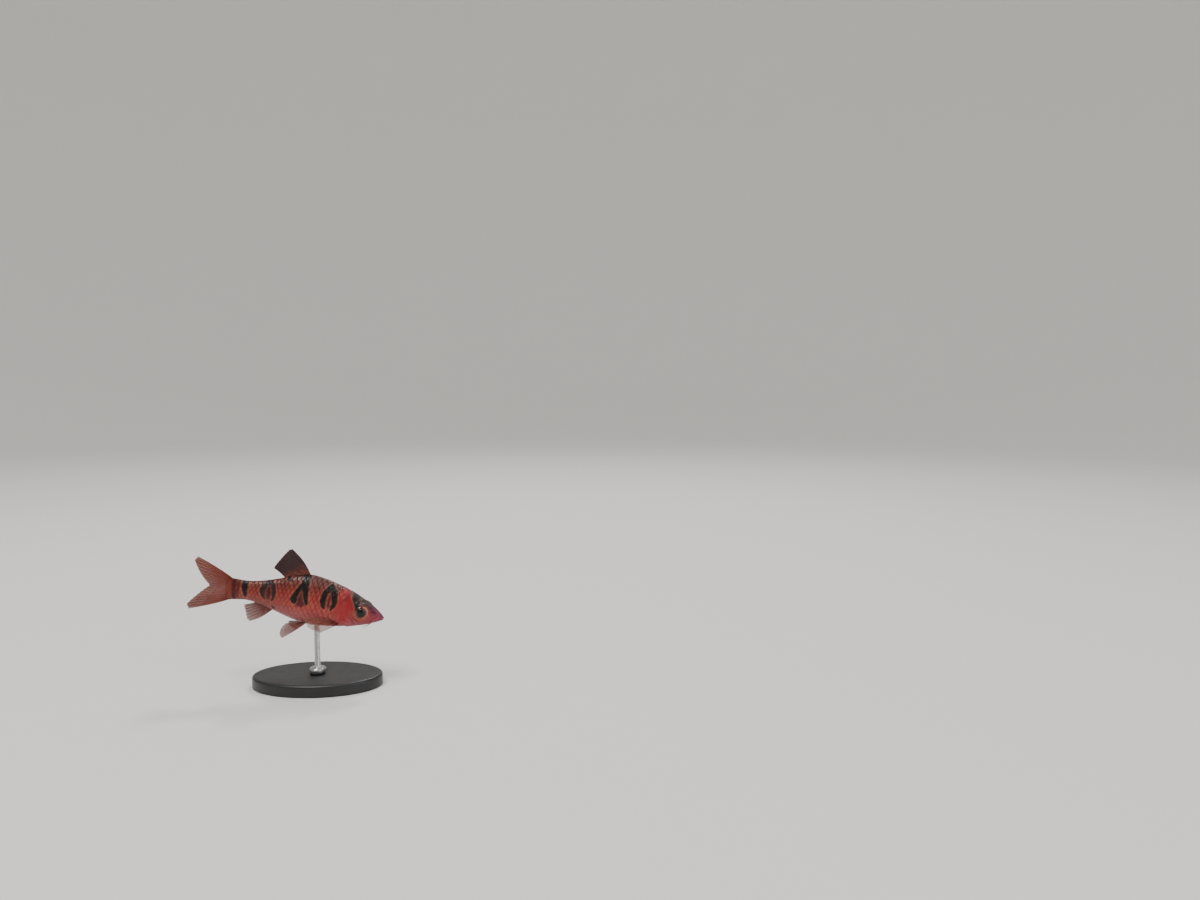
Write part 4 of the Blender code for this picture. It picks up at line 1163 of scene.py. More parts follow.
def coat_tree():
    """Lays a plate on each root in the flat plane, then wraps every plate over the guide."""
    tree, given = tree_with_inputs("scale_coat", {
        "Geometry": "Geometry", "Plate": "Object", "Pored Plate": "Object", "Guide": "Object",
        "Half Patch": "Float", "Material": "Material",
    })
    pored = add(tree, "GeometryNodeInputNamedAttribute", {"Name": "pored"}, data_type="FLOAT")
    size, root, disc, out, flat = (
        add(tree, "GeometryNodeInputNamedAttribute", {"Name": name}, data_type="FLOAT_VECTOR")
        for name in ("size", "root", "disc", "out", "flat")
    )
    joined = add(tree, "GeometryNodeJoinGeometry")
    for name, wanted in (("Plate", 0.0), ("Pored Plate", 1.0)):
        plate = add(tree, "GeometryNodeObjectInfo", {"Object": given[name]}, "Geometry")
        chosen = add(
            tree, "FunctionNodeCompare", {"A": pored, "B": wanted, "Epsilon": 0.1},
            data_type="FLOAT", operation="EQUAL",
        )
        laid = add(
            tree, "GeometryNodeInstanceOnPoints",
            {"Points": given["Geometry"], "Selection": chosen, "Instance": plate, "Scale": size},
        )
        tree.links.new(laid, joined.node.inputs[0])
    place = add(tree, "GeometryNodeInputPosition")
    rooted = add(
        tree, "GeometryNodeStoreNamedAttribute", {"Geometry": joined, "Name": "root", "Value": place},
        data_type="FLOAT_VECTOR", domain="INSTANCE",
    )
    real = add(tree, "GeometryNodeRealizeInstances", {"Geometry": rooted})
    # Each plate is a small patch of the map at its root's place on the skin
    spread = add(
        tree, VECTOR, {0: root, 1: (0.9, 1.6, 0.0), 2: (0.0, 0.12, 0.0)}, operation="MULTIPLY_ADD"
    )
    patch = add(tree, VECTOR, {0: disc, "Scale": given["Half Patch"]}, operation="SCALE")
    spread = add(tree, VECTOR, {0: spread, 1: patch}, operation="ADD")
    unwrapped = add(
        tree, "GeometryNodeStoreNamedAttribute", {"Geometry": real, "Name": "OFBake", "Value": spread},
        data_type="FLOAT2", domain="CORNER",
    )
    # Where a point lies on the flat guide, it goes on the curved one, and rises by its height
    guide = add(tree, "GeometryNodeObjectInfo", {"Object": given["Guide"]}, "Geometry")
    height = add(tree, "ShaderNodeSeparateXYZ", {0: place}, 2)
    plane = add(tree, VECTOR, {0: place, 1: (1.0, 1.0, 0.0)}, operation="MULTIPLY")
    on_guide, outwards = (
        add(
            tree, "GeometryNodeSampleUVSurface", {0: guide, 1: value, 2: flat, 3: plane},
            data_type="FLOAT_VECTOR",
        )
        for value in (place, out)
    )
    lift = add(tree, VECTOR, {0: outwards, "Scale": height}, operation="SCALE")
    wrapped = add(tree, VECTOR, {0: on_guide, 1: lift}, operation="ADD")
    moved = add(tree, "GeometryNodeSetPosition", {"Geometry": unwrapped, "Position": wrapped})
    coated = add(tree, "GeometryNodeSetMaterial", {"Geometry": moved, "Material": given["Material"]})
    tree.links.new(coated, tree.nodes.new("NodeGroupOutput").inputs[0])
    return tree


def grown(thing, tree, values):
    """The plain mesh that a Geometry Nodes tree makes of an object, whose modifier is then removed."""
    modifier = thing.modifiers.new("grown", "NODES")
    modifier.node_group = tree
    for item in tree.interface.items_tree:
        if item.in_out == "INPUT" and item.name in values:
            modifier[item.identifier] = values[item.name]
    bpy.context.view_layer.update()
    graph = bpy.context.evaluated_depsgraph_get()
    mesh = bpy.data.meshes.new_from_object(
        thing.evaluated_get(graph), preserve_all_data_layers=True, depsgraph=graph
    )
    thing.modifiers.clear()
    thing.data = mesh
    return thing


def make_coat(side, word, sizes, tree, material):
    """The scales of one side as one mesh, with their markings."""
    roots = scale_roots(side, sizes)
    # Roots are laid flat, and a plate is stretched over the flat plane alone
    one = np.ones((len(roots), 1))
    made = mesh_object("scales_" + word, np.concatenate([roots[:, :2], 0 * one], axis=1), [])
    write_attribute(made.data, "size", np.concatenate([roots[:, 2:4], one], axis=1))
    write_attribute(made.data, "pored", roots[:, 4])
    plates = [
        plate_mesh(name, sizes.thickness, sizes.dome, sizes.depth, pore)
        for name, pore in (("plate", False), ("pored_plate", True))
    ]
    guide = guide_surface(side, sizes.depth)
    grown(made, tree, {
        "Plate": plates[0], "Pored Plate": plates[1], "Guide": guide, "Half Patch": HALF_PATCH,
        "Material": material,
    })
    for helper in (*plates, guide):
        bpy.data.objects.remove(helper)
    mesh = made.data
    mesh.shade_smooth()
    flat = np.zeros(len(mesh.vertices) * 3, np.float32)
    mesh.attributes["root"].data.foreach_get("vector", flat)
    flat = flat.reshape(-1, 3)
    # The colour of a scale comes from the middle of its shown part
    root_s = flat[:, 0] + 0.018
    root_q = np.clip(flat[:, 1] / (half_girth(root_s) / STANDARD_LENGTH), 0, 1)
    root_h = look_up(TABLE_Z, root_s, root_q) / STANDARD_LENGTH
    paint(mesh, read_points(mesh), 0.8, np.stack([root_s, root_h], axis=1))
    return made


def scale_material(colours):
    """Scales of a live barb: thin bone plates under wet skin, each with a darker rear edge, and a pearly
    sheen painted on as paler middles and glints.
    """
    made, tree, shader = new_material(
        "wet_scales", Roughness=0.36, Metallic=0.10, Subsurface_Weight=0.06, Subsurface_Scale=0.0004,
        Coat_Weight=0.14, Coat_Roughness=0.12, Specular_IOR_Level=0.19,
    )
    place = add(tree, PLACE, None, "Object")
    base, quiet = skin_colour(tree, place, colours)
    disc, root = (add(tree, READ, None, "Vector", attribute_name=name) for name in ("disc", "root"))
    hind, middle, angle = (
        add(tree, READ, None, "Fac", attribute_name=name) for name in ("hind", "middle", "angle")
    )
    far = add(tree, VECTOR, {0: disc}, "Value", operation="LENGTH")
    # Some scales are painted lighter at random: partly tone that differs from scale to scale, partly
    # painted glint
    own = add(tree, "ShaderNodeTexWhiteNoise", {"Vector": root}, "Value", noise_dimensions="3D")
    tone_and_glint = add(tree, MATH, {0: own, 1: 0.10}, operation="MULTIPLY")
    # Each scale's middle is painted paler, as a painted highlight on its dome
    pale = add(tree, RANGE, {0: far, 1: 0.86, 2: 0.55, 4: middle}, **SMOOTH)
    edge = add(tree, RANGE, {0: far, 1: 0.80, 2: 0.99, 4: hind}, **SMOOTH)
    for share, ink in ((tone_and_glint, "#C77962"), (pale, "#C5826C"), (edge, "#4E1C19")):
        share = add(tree, MATH, {0: share, 1: quiet}, operation="MULTIPLY")
        base = add(tree, MIX, {0: share, 6: base, 7: linear(ink)}, 2, **COLOUR)
    # Growth rings and the rays that fan out from the scale's root
    rays, rings = (
        add(tree, MATH, {0: add(tree, MATH, {0: way, 1: count}, operation="MULTIPLY")}, operation="SINE")
        for way, count in ((angle, 30.0), (far, 70.0))
    )
    grainy = add(tree, NOISE, {"Vector": place, "Scale": 1 / (0.3 * MM), "Detail": 2.0})
    relief = 0.0
    for height, depth in ((rays, 0.005), (rings, 0.0016), (grainy, 0.02)):
        relief = add(tree, MATH, {0: height, 1: depth, 2: relief}, operation="MULTIPLY_ADD")
    relief = add(tree, BUMP, {"Height": relief, "Distance": MM})
    wire(tree, shader, Base_Color=base, Normal=relief)
    return made


# Fins


def fan(root_x, root_z, angle, reach, curl, v):
    """A point along a ray in the fin's own plane: it leaves at angle and bends by curl on its way."""
    turned = angle + curl * v / 2
    return root_x - np.cos(turned) * reach * v, root_z + np.sin(turned) * reach * v


def fin_wave(shape, u, v):
    """How far the fin's slight wave stands off to the side, which grows towards the edge."""
    along, out = shape["turns"]
    return shape["wave"] * np.sin(u * along + v * out) * v**2


def single_place(shape, way, u, v):
    """A point of the dorsal fin, way 1, or of the anal fin, way -1, from its sizes."""
    s = mix(*shape["base"], u)
    root_z = way * outline(s)[0 if way > 0 else 1] * STANDARD_LENGTH - ROOT_SINK
    ends, begins = shape["short_to"], shape["shortens_from"]
    first, last = shape["short"]
    growing = mix(last, 1.0, blend(ends, shape["full_from"], u))
    stub = np.where(u < ends, mix(first, last, u / ends), growing)
    reach = mix(*shape["lengths"], np.maximum(0, u - begins) / (1 - begins)) * stub
    reach = reach * STANDARD_LENGTH + ROOT_SINK
    angle, bend = np.radians(mix(*shape["angles"], u)), math.radians(shape["bend"])
    x, z = fan(x_of(s), root_z, angle, reach, bend, v)
    return np.stack([x, fin_wave(shape, u, v), way * z], axis=-1)


def caudal_place(u, v):
    """The tail fin: u runs from the tip of the lower lobe over the fork to the tip of the upper one."""
    back, belly, _ = outline(1.0)
    middle = (back + belly) / 2 * STANDARD_LENGTH
    half_height = (back - belly) / 2 * STANDARD_LENGTH
    lobe, way = np.abs(2 * u - 1), np.sign(2 * u - 1)
    sink = ROOT_SINK + 0.1 * MM
    root_z = half_height * (0.96 - 0.16 * blend(0.12, 0.0, v)) * lobe
    rounding = 1 - 0.13 * blend(0.78, 1.0, lobe)
    reach = mix(*CAUDAL["lengths"], lobe**1.1) * rounding * STANDARD_LENGTH + 0.3 * MM
    angle, curl = np.radians(CAUDAL["spread"] * lobe**0.9), np.radians(CAUDAL["bend"] * lobe)
    share = np.maximum(0, (v * (reach + sink) - sink) / reach)
    x, z = fan(x_of(1.0), root_z, angle, reach, curl, share)
    x = x + np.maximum(0, sink - v * (reach + sink))
    return np.stack([x, fin_wave(CAUDAL, u, v), middle + way * z], axis=-1)


def pectoral_place(side, u, v):
    """A point of a pectoral fin, which spreads back and outwards behind the gill cover."""
    lean, splay = math.radians(PECTORAL["lean"]), math.radians(PECTORAL["splay"])
    down = np.array([math.sin(lean), 0, -math.cos(lean)])
    root = on_skin(*PECTORAL["root"], side) + down * (PECTORAL["base"] * u)[..., None]
    angle = np.radians(mix(*PECTORAL["angles"], u))
    reach = mix(*PECTORAL["lengths"], u) * (1 + 0.16 * np.sin(np.pi * np.minimum(1, u * 1.25)))
    back = np.stack([-np.cos(angle), 0 * u, np.sin(angle)], axis=-1)
    out = np.array([0, side, 0.0])
    way = back * math.cos(splay) + out * math.sin(splay)
    along = ((reach + ROOT_SINK) * v - ROOT_SINK)[..., None]
    # The fin bows back towards the flank
    bow = out * (fin_wave(PECTORAL, u, v) - 0.16 * reach * v * v)[..., None]
    return root + way * along + bow


def pelvic_place(side, u, v):
    """A point of a pelvic fin, which hangs back and down beside the keel."""
    s, across = mix(*PELVIC["base"], u), mix(*PELVIC["across"], u)
    _, belly, half_width = outline(s)
    rise = (1 - np.sqrt(1 - (across / (half_width * STANDARD_LENGTH)) ** 2)) * BELLY_DEEP
    root = np.stack([x_of(s), side * across, belly * STANDARD_LENGTH + rise], axis=-1)
    down, out = (np.radians(mix(*PELVIC[key], u)) for key in ("down", "out"))
    reach = mix(*PELVIC["lengths"], u) * (1 + 0.1 * np.sin(np.pi * u))
    way = np.stack(
        [-np.cos(down) * np.cos(out), side * np.sin(out), -np.sin(down) * np.cos(out)], axis=-1
    )
    along = ((reach + ROOT_SINK) * v - ROOT_SINK)[..., None]
    bow = np.array([-0.12, 0, 0.05]) * (reach * v * v)[..., None]
    return root + way * along + bow + np.stack([0 * u, fin_wave(PELVIC, u, v), 0 * u], axis=-1)


def ray_relief(u, v, rays, simple):
    """How much of a ray there is at (u, v), from 0 on the membrane to 1 on a ray's crest.

    Soft rays split in two and then in four towards the edge. Simple rays, at the ends, don't."""
    place = u * (rays - 1)
    nearest = np.round(place)
    off = place - nearest
    splits = 1.0 - np.isin(nearest, simple)
    first = 0.19 * np.clip((v - 0.42) / 0.58, 0, 1) ** 0.8 * splits
    second = 0.085 * np.clip((v - 0.70) / 0.30, 0, 1) ** 0.8 * splits
    width = mix(0.20, 0.055, v**0.8) + 0.05 * (1 - splits)
    found = np.zeros(np.shape(off))
    for a in (-1, 1):
        for b in (-1, 1):
            found = np.maximum(found, bump(off - a * first - b * second, width))
    return found


def make_fin(name, place, rays, simple, sizes, rows, ways, root_thick):
    """A fin as one thin closed sheet: a membrane with branched rays raised on both its faces."""
    u = np.linspace(0, 1, (rays - 1) * ways + 1)
    v = np.linspace(0, 1, rows) ** 1.05
    v, u = np.meshgrid(v, u, indexing="ij")
    between = np.sin(np.pi * u * (rays - 1)) ** 2
    ragged = 0.5 + 0.5 * np.sin(np.floor(u * (rays - 1)) * 12.9)
    reach = v * (1 - sizes.notch * between * (0.6 + 0.8 * ragged) * v**2)
    centre = place(u, reach)
    normal = unit(np.cross(np.gradient(centre, axis=0), np.gradient(centre, axis=1)))
    ray = ray_relief(u, v, rays, simple)
    web = sizes.web * mix(1.0, 0.5, v)
    thick = web + (sizes.ray * root_thick * mix(1.0, 0.28, v**0.7) - web * 0.4) * ray
    thick = thick * mix(1.0, 0.55, blend(0.96, 1.0, v))
    half = normal * (thick / 2)[..., None]
    count = u.size
    points = np.concatenate([(centre + half).reshape(-1, 3), (centre - half).reshape(-1, 3)])
    front = grid_faces(*u.shape, False)
    faces = front + [[n + count for n in face[::-1]] for face in front]
    rim = rim_of(*u.shape)
    for a_point, b_point in zip(rim, rim[1:] + rim[:1]):
        faces.append([b_point, a_point, a_point + count, b_point + count])
    faces = facing_out(faces, points)
    made = mesh_object(name, points, faces)
    write_attribute(made.data, "reach", np.tile(v.ravel(), 2))
    write_attribute(made.data, "ray", np.tile(ray.ravel(), 2))
    return made


def fin_material(name, root, web, edge, ray, clearness, specks):
    """A live fin: a clear skin between bony rays, coloured by pigment that thins to the edge."""
    made, tree, shader = new_material(
        name, Roughness=0.38, Coat_Weight=0.20, Coat_Roughness=0.15, Specular_IOR_Level=0.30
    )
    place = add(tree, PLACE, None, "Object")
    reach, crest = (add(tree, READ, None, "Fac", attribute_name=key) for key in ("reach", "ray"))
    blotch, dots, grainy = (
        add(tree, NOISE, {"Vector": place, "Scale": 1 / size, "Detail": detail})
        for size, detail in ((0.9 * MM, 3.0), (0.34 * MM, 1.0), (0.22 * MM, 2.0))
    )
    drift = add(tree, RANGE, {0: blotch, 3: -0.225, 4: 0.225})
    base = add(tree, RAMP, {0: add(tree, MATH, {0: reach, 1: drift}, operation="ADD")})
    set_stops(base, ((0.05, root), (0.42, web), (0.78, web), (1.0, edge)))
    bony = add(tree, RANGE, {0: crest, 1: 0.35, 2: 0.9, 4: 0.55}, **SMOOTH)
    # The rays are jointed: fine dark lines across each, a ray's width apart
    joints = add(tree, MATH, {0: reach, 1: 150.0}, operation="MULTIPLY")
    joints = add(tree, MATH, {0: joints}, operation="SINE")
    joints = add(tree, RANGE, {0: joints, 1: 0.6, 2: 0.95, 4: 0.35}, **SMOOTH)
    joints = add(tree, RANGE, {0: reach, 1: 0.25, 2: 0.4, 4: joints}, **SMOOTH)
    joints = add(tree, RANGE, {0: crest, 1: 0.3, 2: 0.8, 4: joints}, **SMOOTH)
    speckled = add(tree, RANGE, {0: dots, 1: 0.52, 2: 0.70, 4: 0.85 if specks else 0.0}, **SMOOTH)
    speckled = add(tree, RANGE, {0: reach, 1: 0.5, 2: 0.2, 4: speckled}, **SMOOTH)
    for share, ink in ((bony, ray), (speckled, specks or ray), (joints, "#4A2226")):
        base = add(tree, MIX, {0: share, 6: base, 7: linear(ink)}, 2, **COLOUR)
    low, high, solid = clearness
    clear = add(tree, RANGE, {0: reach, 1: 0.2, 2: 0.9, 3: low, 4: high})
    fleshy = add(tree, RANGE, {0: reach, 1: 0.30, 2: 0.04}, **SMOOTH)
    held = add(tree, RANGE, {0: crest, 1: 0.25, 2: 0.85, 4: solid}, **SMOOTH)
    clear = add(tree, MATH, {0: clear, 1: fleshy}, operation="MAXIMUM")
    clear = add(tree, MATH, {0: clear, 1: held}, operation="MAXIMUM")
    relief = add(tree, BUMP, {"Height": grainy, "Distance": 0.01 * MM})
    wire(tree, shader, Base_Color=base, Alpha=clear, Normal=relief)
    return made


# Eyes


def make_eye(side, word):
    """An eyeball with the lens bulging through the pupil."""
    rings, angle = 72, circle(120)
    # From the middle of the pupil over the rim to the back pole
    tilt = np.linspace(0, 1, rings) * np.pi
    far = EYE_RADIUS * np.sin(tilt)
    deep = EYE_HALF_DEPTH * np.cos(tilt)
    front = tilt < np.pi / 2
    lens = 0.16 * MM * np.sqrt(np.clip(1 - (far / (PUPIL_RADIUS * 0.98)) ** 2, 0, 1)) ** 1.3
    dip = 0.035 * MM * bump(far - PUPIL_RADIUS, 0.07 * MM)
    collar = 0.03 * MM * bump(far - PUPIL_RADIUS - 0.16 * MM, 0.09 * MM)
    deep = deep + np.where(front, lens - dip + collar, 0)
    own = np.stack(
        [far[:, None] * np.cos(angle), far[:, None] * np.sin(angle), deep[:, None] + 0 * angle], axis=-1
    )
    centre, turn = eye_frame(side)
    points = own @ turn.T + centre
    made = mesh_object("eyeball_" + word, *capped_tube(points[1:-1], points[0, 0], points[-1, 0]))
    own = np.concatenate([own[1:-1].reshape(-1, 3), own[0, :1], own[-1, :1]]) / MM
    forward, up = -side * own[:, 0], own[:, 1]
    far = np.hypot(forward, up)
    write_attribute(made.data, "from_pupil", far)
    away = np.maximum(far, 0.01)
    write_attribute(made.data, "iris", np.stack([up / away, forward / away, 0.35 * far], axis=1))
    # The first bar runs on over the upper rear part of the iris
    barred = blend(1.25, 0.85, np.abs(forward + 0.9)) * blend(-0.1, 0.5, up)
    shaded = np.maximum(0.88 * barred, 0.32 * blend(0.2, 1.3, -forward))
    write_attribute(made.data, "shade", shaded)
    return made


def eye_material():
    """A live fish eye: a black pupil, a thin gold rim, a red-brown iris and a pink outer ring."""
    made, tree, shader = new_material(
        "fish_eye", Roughness=0.10, Coat_Weight=0.25, Coat_Roughness=0.02, Specular_IOR_Level=0.28
    )
    far, shade = (add(tree, READ, None, "Fac", attribute_name=name) for name in ("from_pupil", "shade"))
    round_iris = add(tree, READ, None, "Vector", attribute_name="iris")
    streaks = add(tree, NOISE, {"Vector": round_iris, "Scale": 11.0, "Detail": 4.0})
    drift = add(tree, RANGE, {0: streaks, 3: -0.036, 4: 0.036})
    share = add(tree, MATH, {0: far, 1: MM / EYE_RADIUS, 2: drift}, operation="MULTIPLY_ADD")
    base = add(tree, RAMP, {0: share})
    set_stops(base, IRIS_STOPS)
    pupil = PUPIL_RADIUS / MM
    from_rim = add(tree, MATH, {0: far, 1: pupil + 0.05}, operation="SUBTRACT")
    from_rim = add(tree, MATH, {0: from_rim}, operation="ABSOLUTE")
    gold = add(tree, RANGE, {0: from_rim, 1: 0.07, 2: 0.02, 4: 0.7}, **SMOOTH)
    black = add(tree, RANGE, {0: far, 1: pupil + 0.01, 2: pupil - 0.03}, **SMOOTH)
    for share, ink in ((gold, "#A8683A"), (shade, "#12080A"), (black, "#020306")):
        base = add(tree, MIX, {0: share, 6: base, 7: linear(ink)}, 2, **COLOUR)
    relief = add(tree, BUMP, {"Height": streaks, "Distance": 0.03 * MM})
    wire(tree, shader, Base_Color=base, Normal=relief)
    return made


# Stand and studio


def turned(name, profile, half_sizes):
    """A closed piece turned from a profile of (inset from the widest edge, height), top to bottom."""
    angle = circle(192)
    inset, z = (np.array(column)[:, None] for column in zip(*profile[1:-1]))
    x, y = (half_sizes[0] - inset) * np.cos(angle), (half_sizes[1] - inset) * np.sin(angle)
    rings = np.stack([x, y, z + 0 * x], axis=-1)
    return mesh_object(name, *capped_tube(rings, (0, 0, profile[0][1]), (0, 0, profile[-1][1])))


def rounded(inset, z, radius, start, end, steps=7):
    """Points of a rounded corner of a profile, about a centre, from one angle to another."""
    turns = [math.radians(mix(start, end, k / steps)) for k in range(steps + 1)]
    return [(inset - radius * math.cos(a), z + radius * math.sin(a)) for a in turns]


def base_profile():
    """The base: flat, with a wide rounding above and a narrow one below."""
    top, r, low = BASE_THICK, BASE_ROUNDING, 0.3 * MM
    inner = [(BASE_HALF_WIDTH * share, top) for share in (1.0, 0.7, 0.4, 0.2)]
    edge = rounded(r, top - r, r, 90, 0) + rounded(low, low, low, 0, -90)
    bottom = [(BASE_HALF_WIDTH * share, 0.0) for share in (0.1, 0.5, 1.0)]
    return inner + [(r + low, top)] + edge + bottom


def rod_profile():
    """The rod with its collar: a fine fillet where they meet, and a bevel on the collar's edge."""
    foot, top, r = BASE_THICK + WASHER, AXIS_HEIGHT + 0.7 * MM, 0.12 * MM
    rod, bevel = COLLAR_RADIUS - ROD_RADIUS, COLLAR_CHAMFER
    collar = foot + COLLAR_HEIGHT
    shaft = [(COLLAR_RADIUS, top), (rod + r, top)] + rounded(rod + r, top - r, r, 90, 0, 3)
    fillet = [(rod, collar + 0.2 * MM), (rod - 0.06 * MM, collar + 0.06 * MM), (rod - 0.2 * MM, collar)]
    edge = [(bevel + 0.05 * MM, collar), (bevel - 0.03 * MM, collar - 0.02 * MM)]
    edge += [(0.03 * MM, collar - bevel + 0.03 * MM), (0.0, collar - bevel - 0.05 * MM)]
    lower = [(0.0, foot + 0.12 * MM), (0.04 * MM, foot + 0.03 * MM), (0.12 * MM, foot)]
    return shaft + fillet + edge + lower + [(COLLAR_RADIUS, foot)]


def washer_profile(radius, thick):
    """A flat ring under the collar with small bevels."""
    low, top, bevel = BASE_THICK, BASE_THICK + thick, 0.05 * MM
    upper = [(radius, top), (bevel, top), (0.0, top - bevel)]
    return upper + [(0.0, low + bevel), (bevel, low), (radius, low)]


def washer_material():
    """A black rubber washer under the collar: dull, with the mould's fine grain."""
    made, tree, shader = new_material("black_rubber", Roughness=0.7, Specular_IOR_Level=0.35)
    place = add(tree, PLACE, None, "Object")
    cloud, grainy = (
        add(tree, NOISE, {"Vector": place, "Scale": 1 / size, "Detail": 2.0})
        for size in (0.4 * MM, 0.1 * MM)
    )
    base = add(tree, MIX, {0: cloud, 6: linear("#0E0E0F"), 7: linear("#191919")}, 2, **COLOUR)
    relief = add(tree, BUMP, {"Height": grainy, "Distance": 0.004 * MM})
    wire(tree, shader, Base_Color=base, Normal=relief)
    return made


def stand_base_material():
    """Cast acrylic, satin black: smooth, with the faint cloudiness of its matt polish."""
    made, tree, shader = new_material("satin_black_acrylic", Roughness=0.38, Specular_IOR_Level=0.5)
    place = add(tree, PLACE, None, "Object")
    cloud, grainy = (
        add(tree, NOISE, {"Vector": place, "Scale": 1 / size, "Detail": 4.0})
        for size in (3.0 * MM, 0.12 * MM)
    )
    base = add(tree, MIX, {0: cloud, 6: linear("#141416"), 7: linear("#1D1D20")}, 2, **COLOUR)
    uneven = add(tree, RANGE, {0: cloud, 3: 0.32, 4: 0.46})
    relief = add(tree, BUMP, {"Height": grainy, "Distance": 0.003 * MM})
    wire(tree, shader, Base_Color=base, Roughness=uneven, Normal=relief)
    return made


def rod_material():
    """Turned stainless steel: fine rings round the rod from the lathe, 0.15 mm apart."""
    made, tree, shader = new_material(
        "turned_stainless_steel", Metallic=1.0, Roughness=0.26, Base_Color=linear("#B9BABC")
    )
    place = add(tree, PLACE, None, "Object")
    lathe = add(tree, "ShaderNodeMapping", {"Vector": place, "Scale": (300, 300, 6700)})
    rings = add(tree, NOISE, {"Vector": lathe, "Scale": 1.0, "Detail": 3.0})
    uneven = add(tree, RANGE, {0: rings, 3: 0.2, 4: 0.36})
    wire(tree, shader, Roughness=uneven, Normal=add(tree, BUMP, {"Height": rings, "Distance": 0.004 * MM}))
    return made


def studio_floor():
    """A pale floor that curves up all round into a wall, so that no view shows its edge."""
    flat, bend, height = 1.1, 0.7, 1.7
    profile = [(flat * k / 8, 0.0) for k in range(1, 9)]
    for k in range(1, 25):
        a = k / 24 * math.pi / 2
        profile.append((flat + bend * math.sin(a), bend - bend * math.cos(a)))
    profile.append((flat + bend, height))
    sides = 128
    turns = [2 * math.pi * k / sides for k in range(sides)]
    points = [(r * math.cos(a), r * math.sin(a), z) for r, z in profile for a in turns]
    faces = [face[::-1] for face in grid_faces(len(profile), sides, True)]
    points.append((0.0, 0.0, 0.0))
    faces += [[len(points) - 1, k, (k + 1) % sides] for k in range(sides)]
    made = mesh_object("studio_floor", points, faces)
    # Matt backdrop paper: without gloss, so that only soft shadows lie on it
    paper, _, _ = new_material("pale_paper", Roughness=0.9, Base_Color=linear("#E0DEDA"))
    made.data.materials.append(paper)
    return made


def soft_light(name, place, size, power, tint):
    """A square light that looks at the middle of the fish."""
    lamp = bpy.data.lights.new(name, "AREA")
    lamp.shape, lamp.size, lamp.energy, lamp.color = "SQUARE", size, power, tint
    made = bpy.data.objects.new(name, lamp)
    made.location = place
    made.rotation_euler = (Vector(LIT_SPOT) - Vector(place)).to_track_quat("-Z", "Y").to_euler()
    bpy.context.scene.collection.objects.link(made)


# Operators


def finished(thing, material, nodes):
    """Puts a piece of the fish in place, hangs it on the root, gives it its material and hides the solids
    in its place.
    """
    put_on_stand(thing)
    thing.data.materials.clear()
    thing.data.materials.append(material)
    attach(thing, "root")
    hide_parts(*nodes)


class BARB_OT_skin(bpy.types.Operator):
    """Makes the skin with the head's features, in place of the head, torso and tail"""

    bl_idname = "barb.skin"
    bl_label = "Skin"

    def execute(self, context):
        scene = context.scene
        skin = make_skin(scene.barb_skin, scene.barb_coat.depth)
        finished(skin, skin_material(scene.barb_colours), ("head", "torso", "tail"))
        return {"FINISHED"}


class BARB_OT_scales(bpy.types.Operator):
    """Lays the scales of both sides over the skin"""

    bl_idname = "barb.scales"
    bl_label = "Scales"

    def execute(self, context):
        scene = context.scene
        tree = coat_tree()
        material = scale_material(scene.barb_colours)
        for word, side in SIDES.items():
            coat = make_coat(side, word, scene.barb_coat, tree, material)
            finished(coat, material, ())
        return {"FINISHED"}


class BARB_OT_eyes(bpy.types.Operator):
    """Makes both eyes"""

    bl_idname = "barb.eyes"
    bl_label = "Eyes"

    def execute(self, context):
        material = eye_material()
        for word, side in SIDES.items():
            finished(make_eye(side, word), material, ("eye_" + word,))
        return {"FINISHED"}


class BARB_OT_fins(bpy.types.Operator):
    """Makes the single and the paired fins"""

    bl_idname = "barb.fins"
    bl_label = "Fins"

    def execute(self, context):
        sizes = context.scene.barb_fins
        dusky, ruddy, brown, glassy = (fin_material(*finish) for finish in FIN_FINISHES)
        caudal_nodes = ("caudal_fin_upper", "caudal_fin_lower")
        dorsal, anal = partial(single_place, DORSAL, 1), partial(single_place, ANAL, -1)
        # Rays, those that don't split, rows, columns for each ray and how thick the rays are
        fins = [
            ("dorsal_web", dorsal, 11, (0, 1, 2), 96, 16, 1.0, dusky, ("dorsal_fin",)),
            ("anal_web", anal, 8, (0, 1, 2), 84, 16, 1.0, ruddy, ("anal_fin",)),
            ("tail_web", caudal_place, 19, (0, 18), 120, 14, 1.15, brown, caudal_nodes),
        ]
        for word, side in SIDES.items():
            for kind, place, rays, skin in (
                ("pectoral", pectoral_place, 12, glassy), ("pelvic", pelvic_place, 9, ruddy)
            ):
                name, node = f"{kind}_web_{word}", f"{kind}_fin_{word}"
                fins.append((name, partial(place, side), rays, (0,), 72, 12, 1.0, skin, (node,)))
        for name, place, rays, simple, rows, ways, thick, skin, nodes in fins:
            finished(make_fin(name, place, rays, simple, sizes, rows, ways, thick), skin, nodes)
        return {"FINISHED"}


class BARB_OT_stand(bpy.types.Operator):
    """Makes the base and the rod with its collar"""

    bl_idname = "barb.stand"
    bl_label = "Stand"

    def execute(self, context):
        washer = (COLLAR_RADIUS - 0.25 * MM, WASHER)
        for name, profile, half_sizes, material, node in (
            ("display_base", base_profile(), (BASE_HALF_LENGTH, BASE_HALF_WIDTH), stand_base_material(),
             "stand_base"),
            ("display_rod", rod_profile(), (COLLAR_RADIUS, COLLAR_RADIUS), rod_material(), "stand_rod"),
            ("rod_washer", washer_profile(*washer), (washer[0], washer[0]), washer_material(), None),
        ):
            piece = turned(name, profile, half_sizes)
            piece.data.materials.append(material)
            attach(piece, "root")
            if node:
                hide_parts(node)
        return {"FINISHED"}


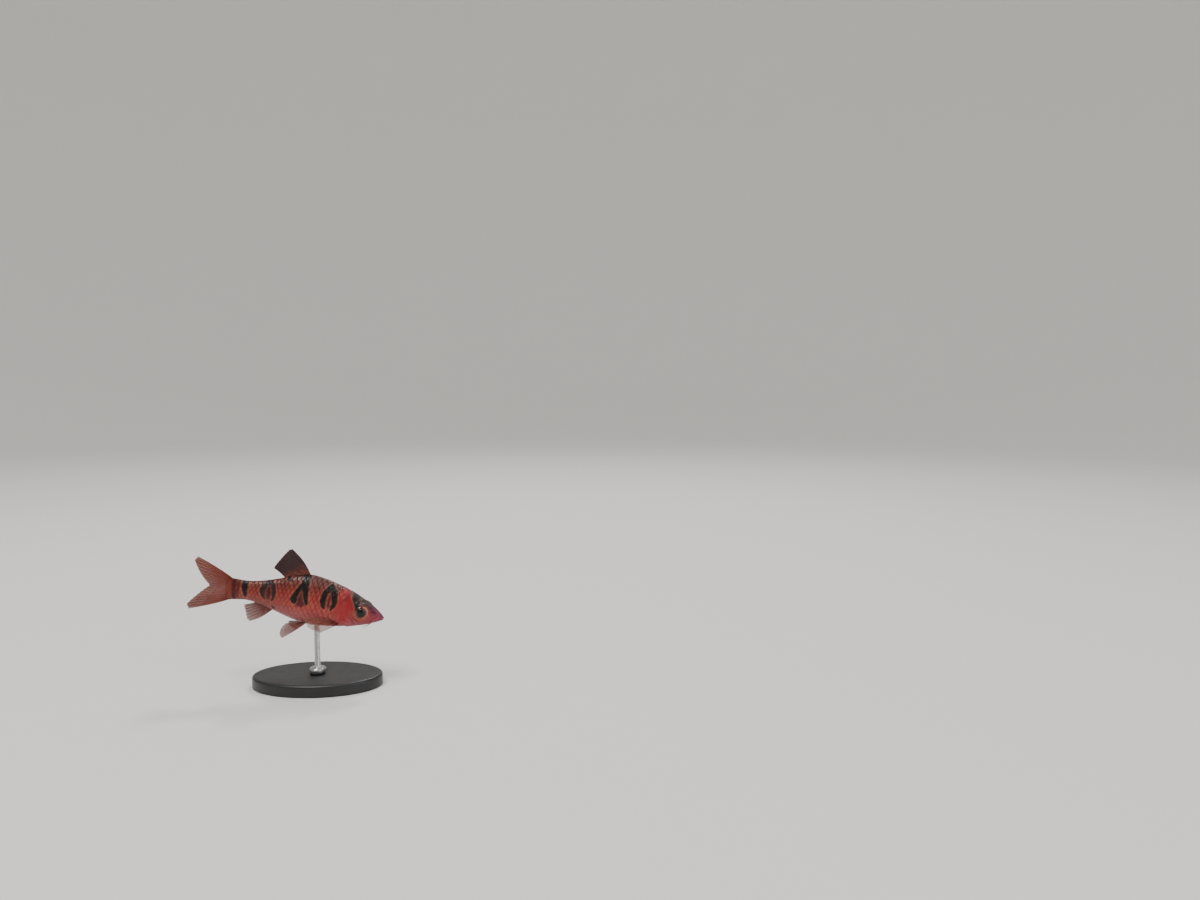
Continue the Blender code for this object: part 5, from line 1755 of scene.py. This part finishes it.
class BARB_OT_stage(bpy.types.Operator):
    """Makes the floor, the soft lights and the camera"""

    bl_idname = "barb.stage"
    bl_label = "Stage"

    def execute(self, context):
        scene = context.scene
        studio_floor()
        world = bpy.data.worlds.new("studio_air")
        world.use_nodes = True
        air = world.node_tree.nodes["Background"].inputs
        air[0].default_value, air[1].default_value = linear(AIR_COLOUR), AIR_LIGHT
        scene.world = world
        for name, light in LIGHTS.items():
            soft_light(name, *light)
        stage = scene.barb_stage
        lens = bpy.data.cameras.new("photo_camera")
        lens.lens, lens.sensor_width = stage.lens, 36.0
        lens.clip_start, lens.clip_end = 0.005, 20.0
        camera = bpy.data.objects.new("photo_camera", lens)
        camera.location = stage.camera_place
        camera.rotation_euler = (math.pi / 2 - stage.camera_down, 0, 0)
        scene.collection.objects.link(camera)
        scene.camera = camera
        return {"FINISHED"}


class BARB_PT_panel(bpy.types.Panel):
    """Lists the steps and their settings"""

    bl_idname = "BARB_PT_panel"
    bl_label = "Snakeskin barb"
    bl_space_type = "VIEW_3D"
    bl_region_type = "UI"
    bl_category = "Barb"

    def draw(self, context):
        layout = self.layout
        for operator in OPERATORS:
            layout.operator(operator.bl_idname)
        for name, group in SETTINGS.items():
            box = layout.box()
            settings = getattr(context.scene, name)
            for key in group.__annotations__:
                box.prop(settings, key)


OPERATORS = (BARB_OT_stage, BARB_OT_stand, BARB_OT_skin, BARB_OT_scales, BARB_OT_eyes, BARB_OT_fins)
SETTINGS = {
    "barb_skin": SkinSettings,
    "barb_coat": CoatSettings,
    "barb_fins": FinSettings,
    "barb_colours": ColourSettings,
    "barb_stage": StageSettings,
}


def register():
    for group in SETTINGS.values():
        bpy.utils.register_class(group)
    for name, group in SETTINGS.items():
        setattr(bpy.types.Scene, name, PointerProperty(type=group))
    for made in (*OPERATORS, BARB_PT_panel):
        bpy.utils.register_class(made)


def unregister():
    for made in (*OPERATORS, BARB_PT_panel):
        bpy.utils.unregister_class(made)
    for name, group in SETTINGS.items():
        delattr(bpy.types.Scene, name)
        bpy.utils.unregister_class(group)


def main():
    """Registers the add-on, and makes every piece."""
    register()
    for operator in OPERATORS:
        group, name = operator.bl_idname.split(".")
        getattr(getattr(bpy.ops, group), name)()


if __name__ == "__main__":
    main()
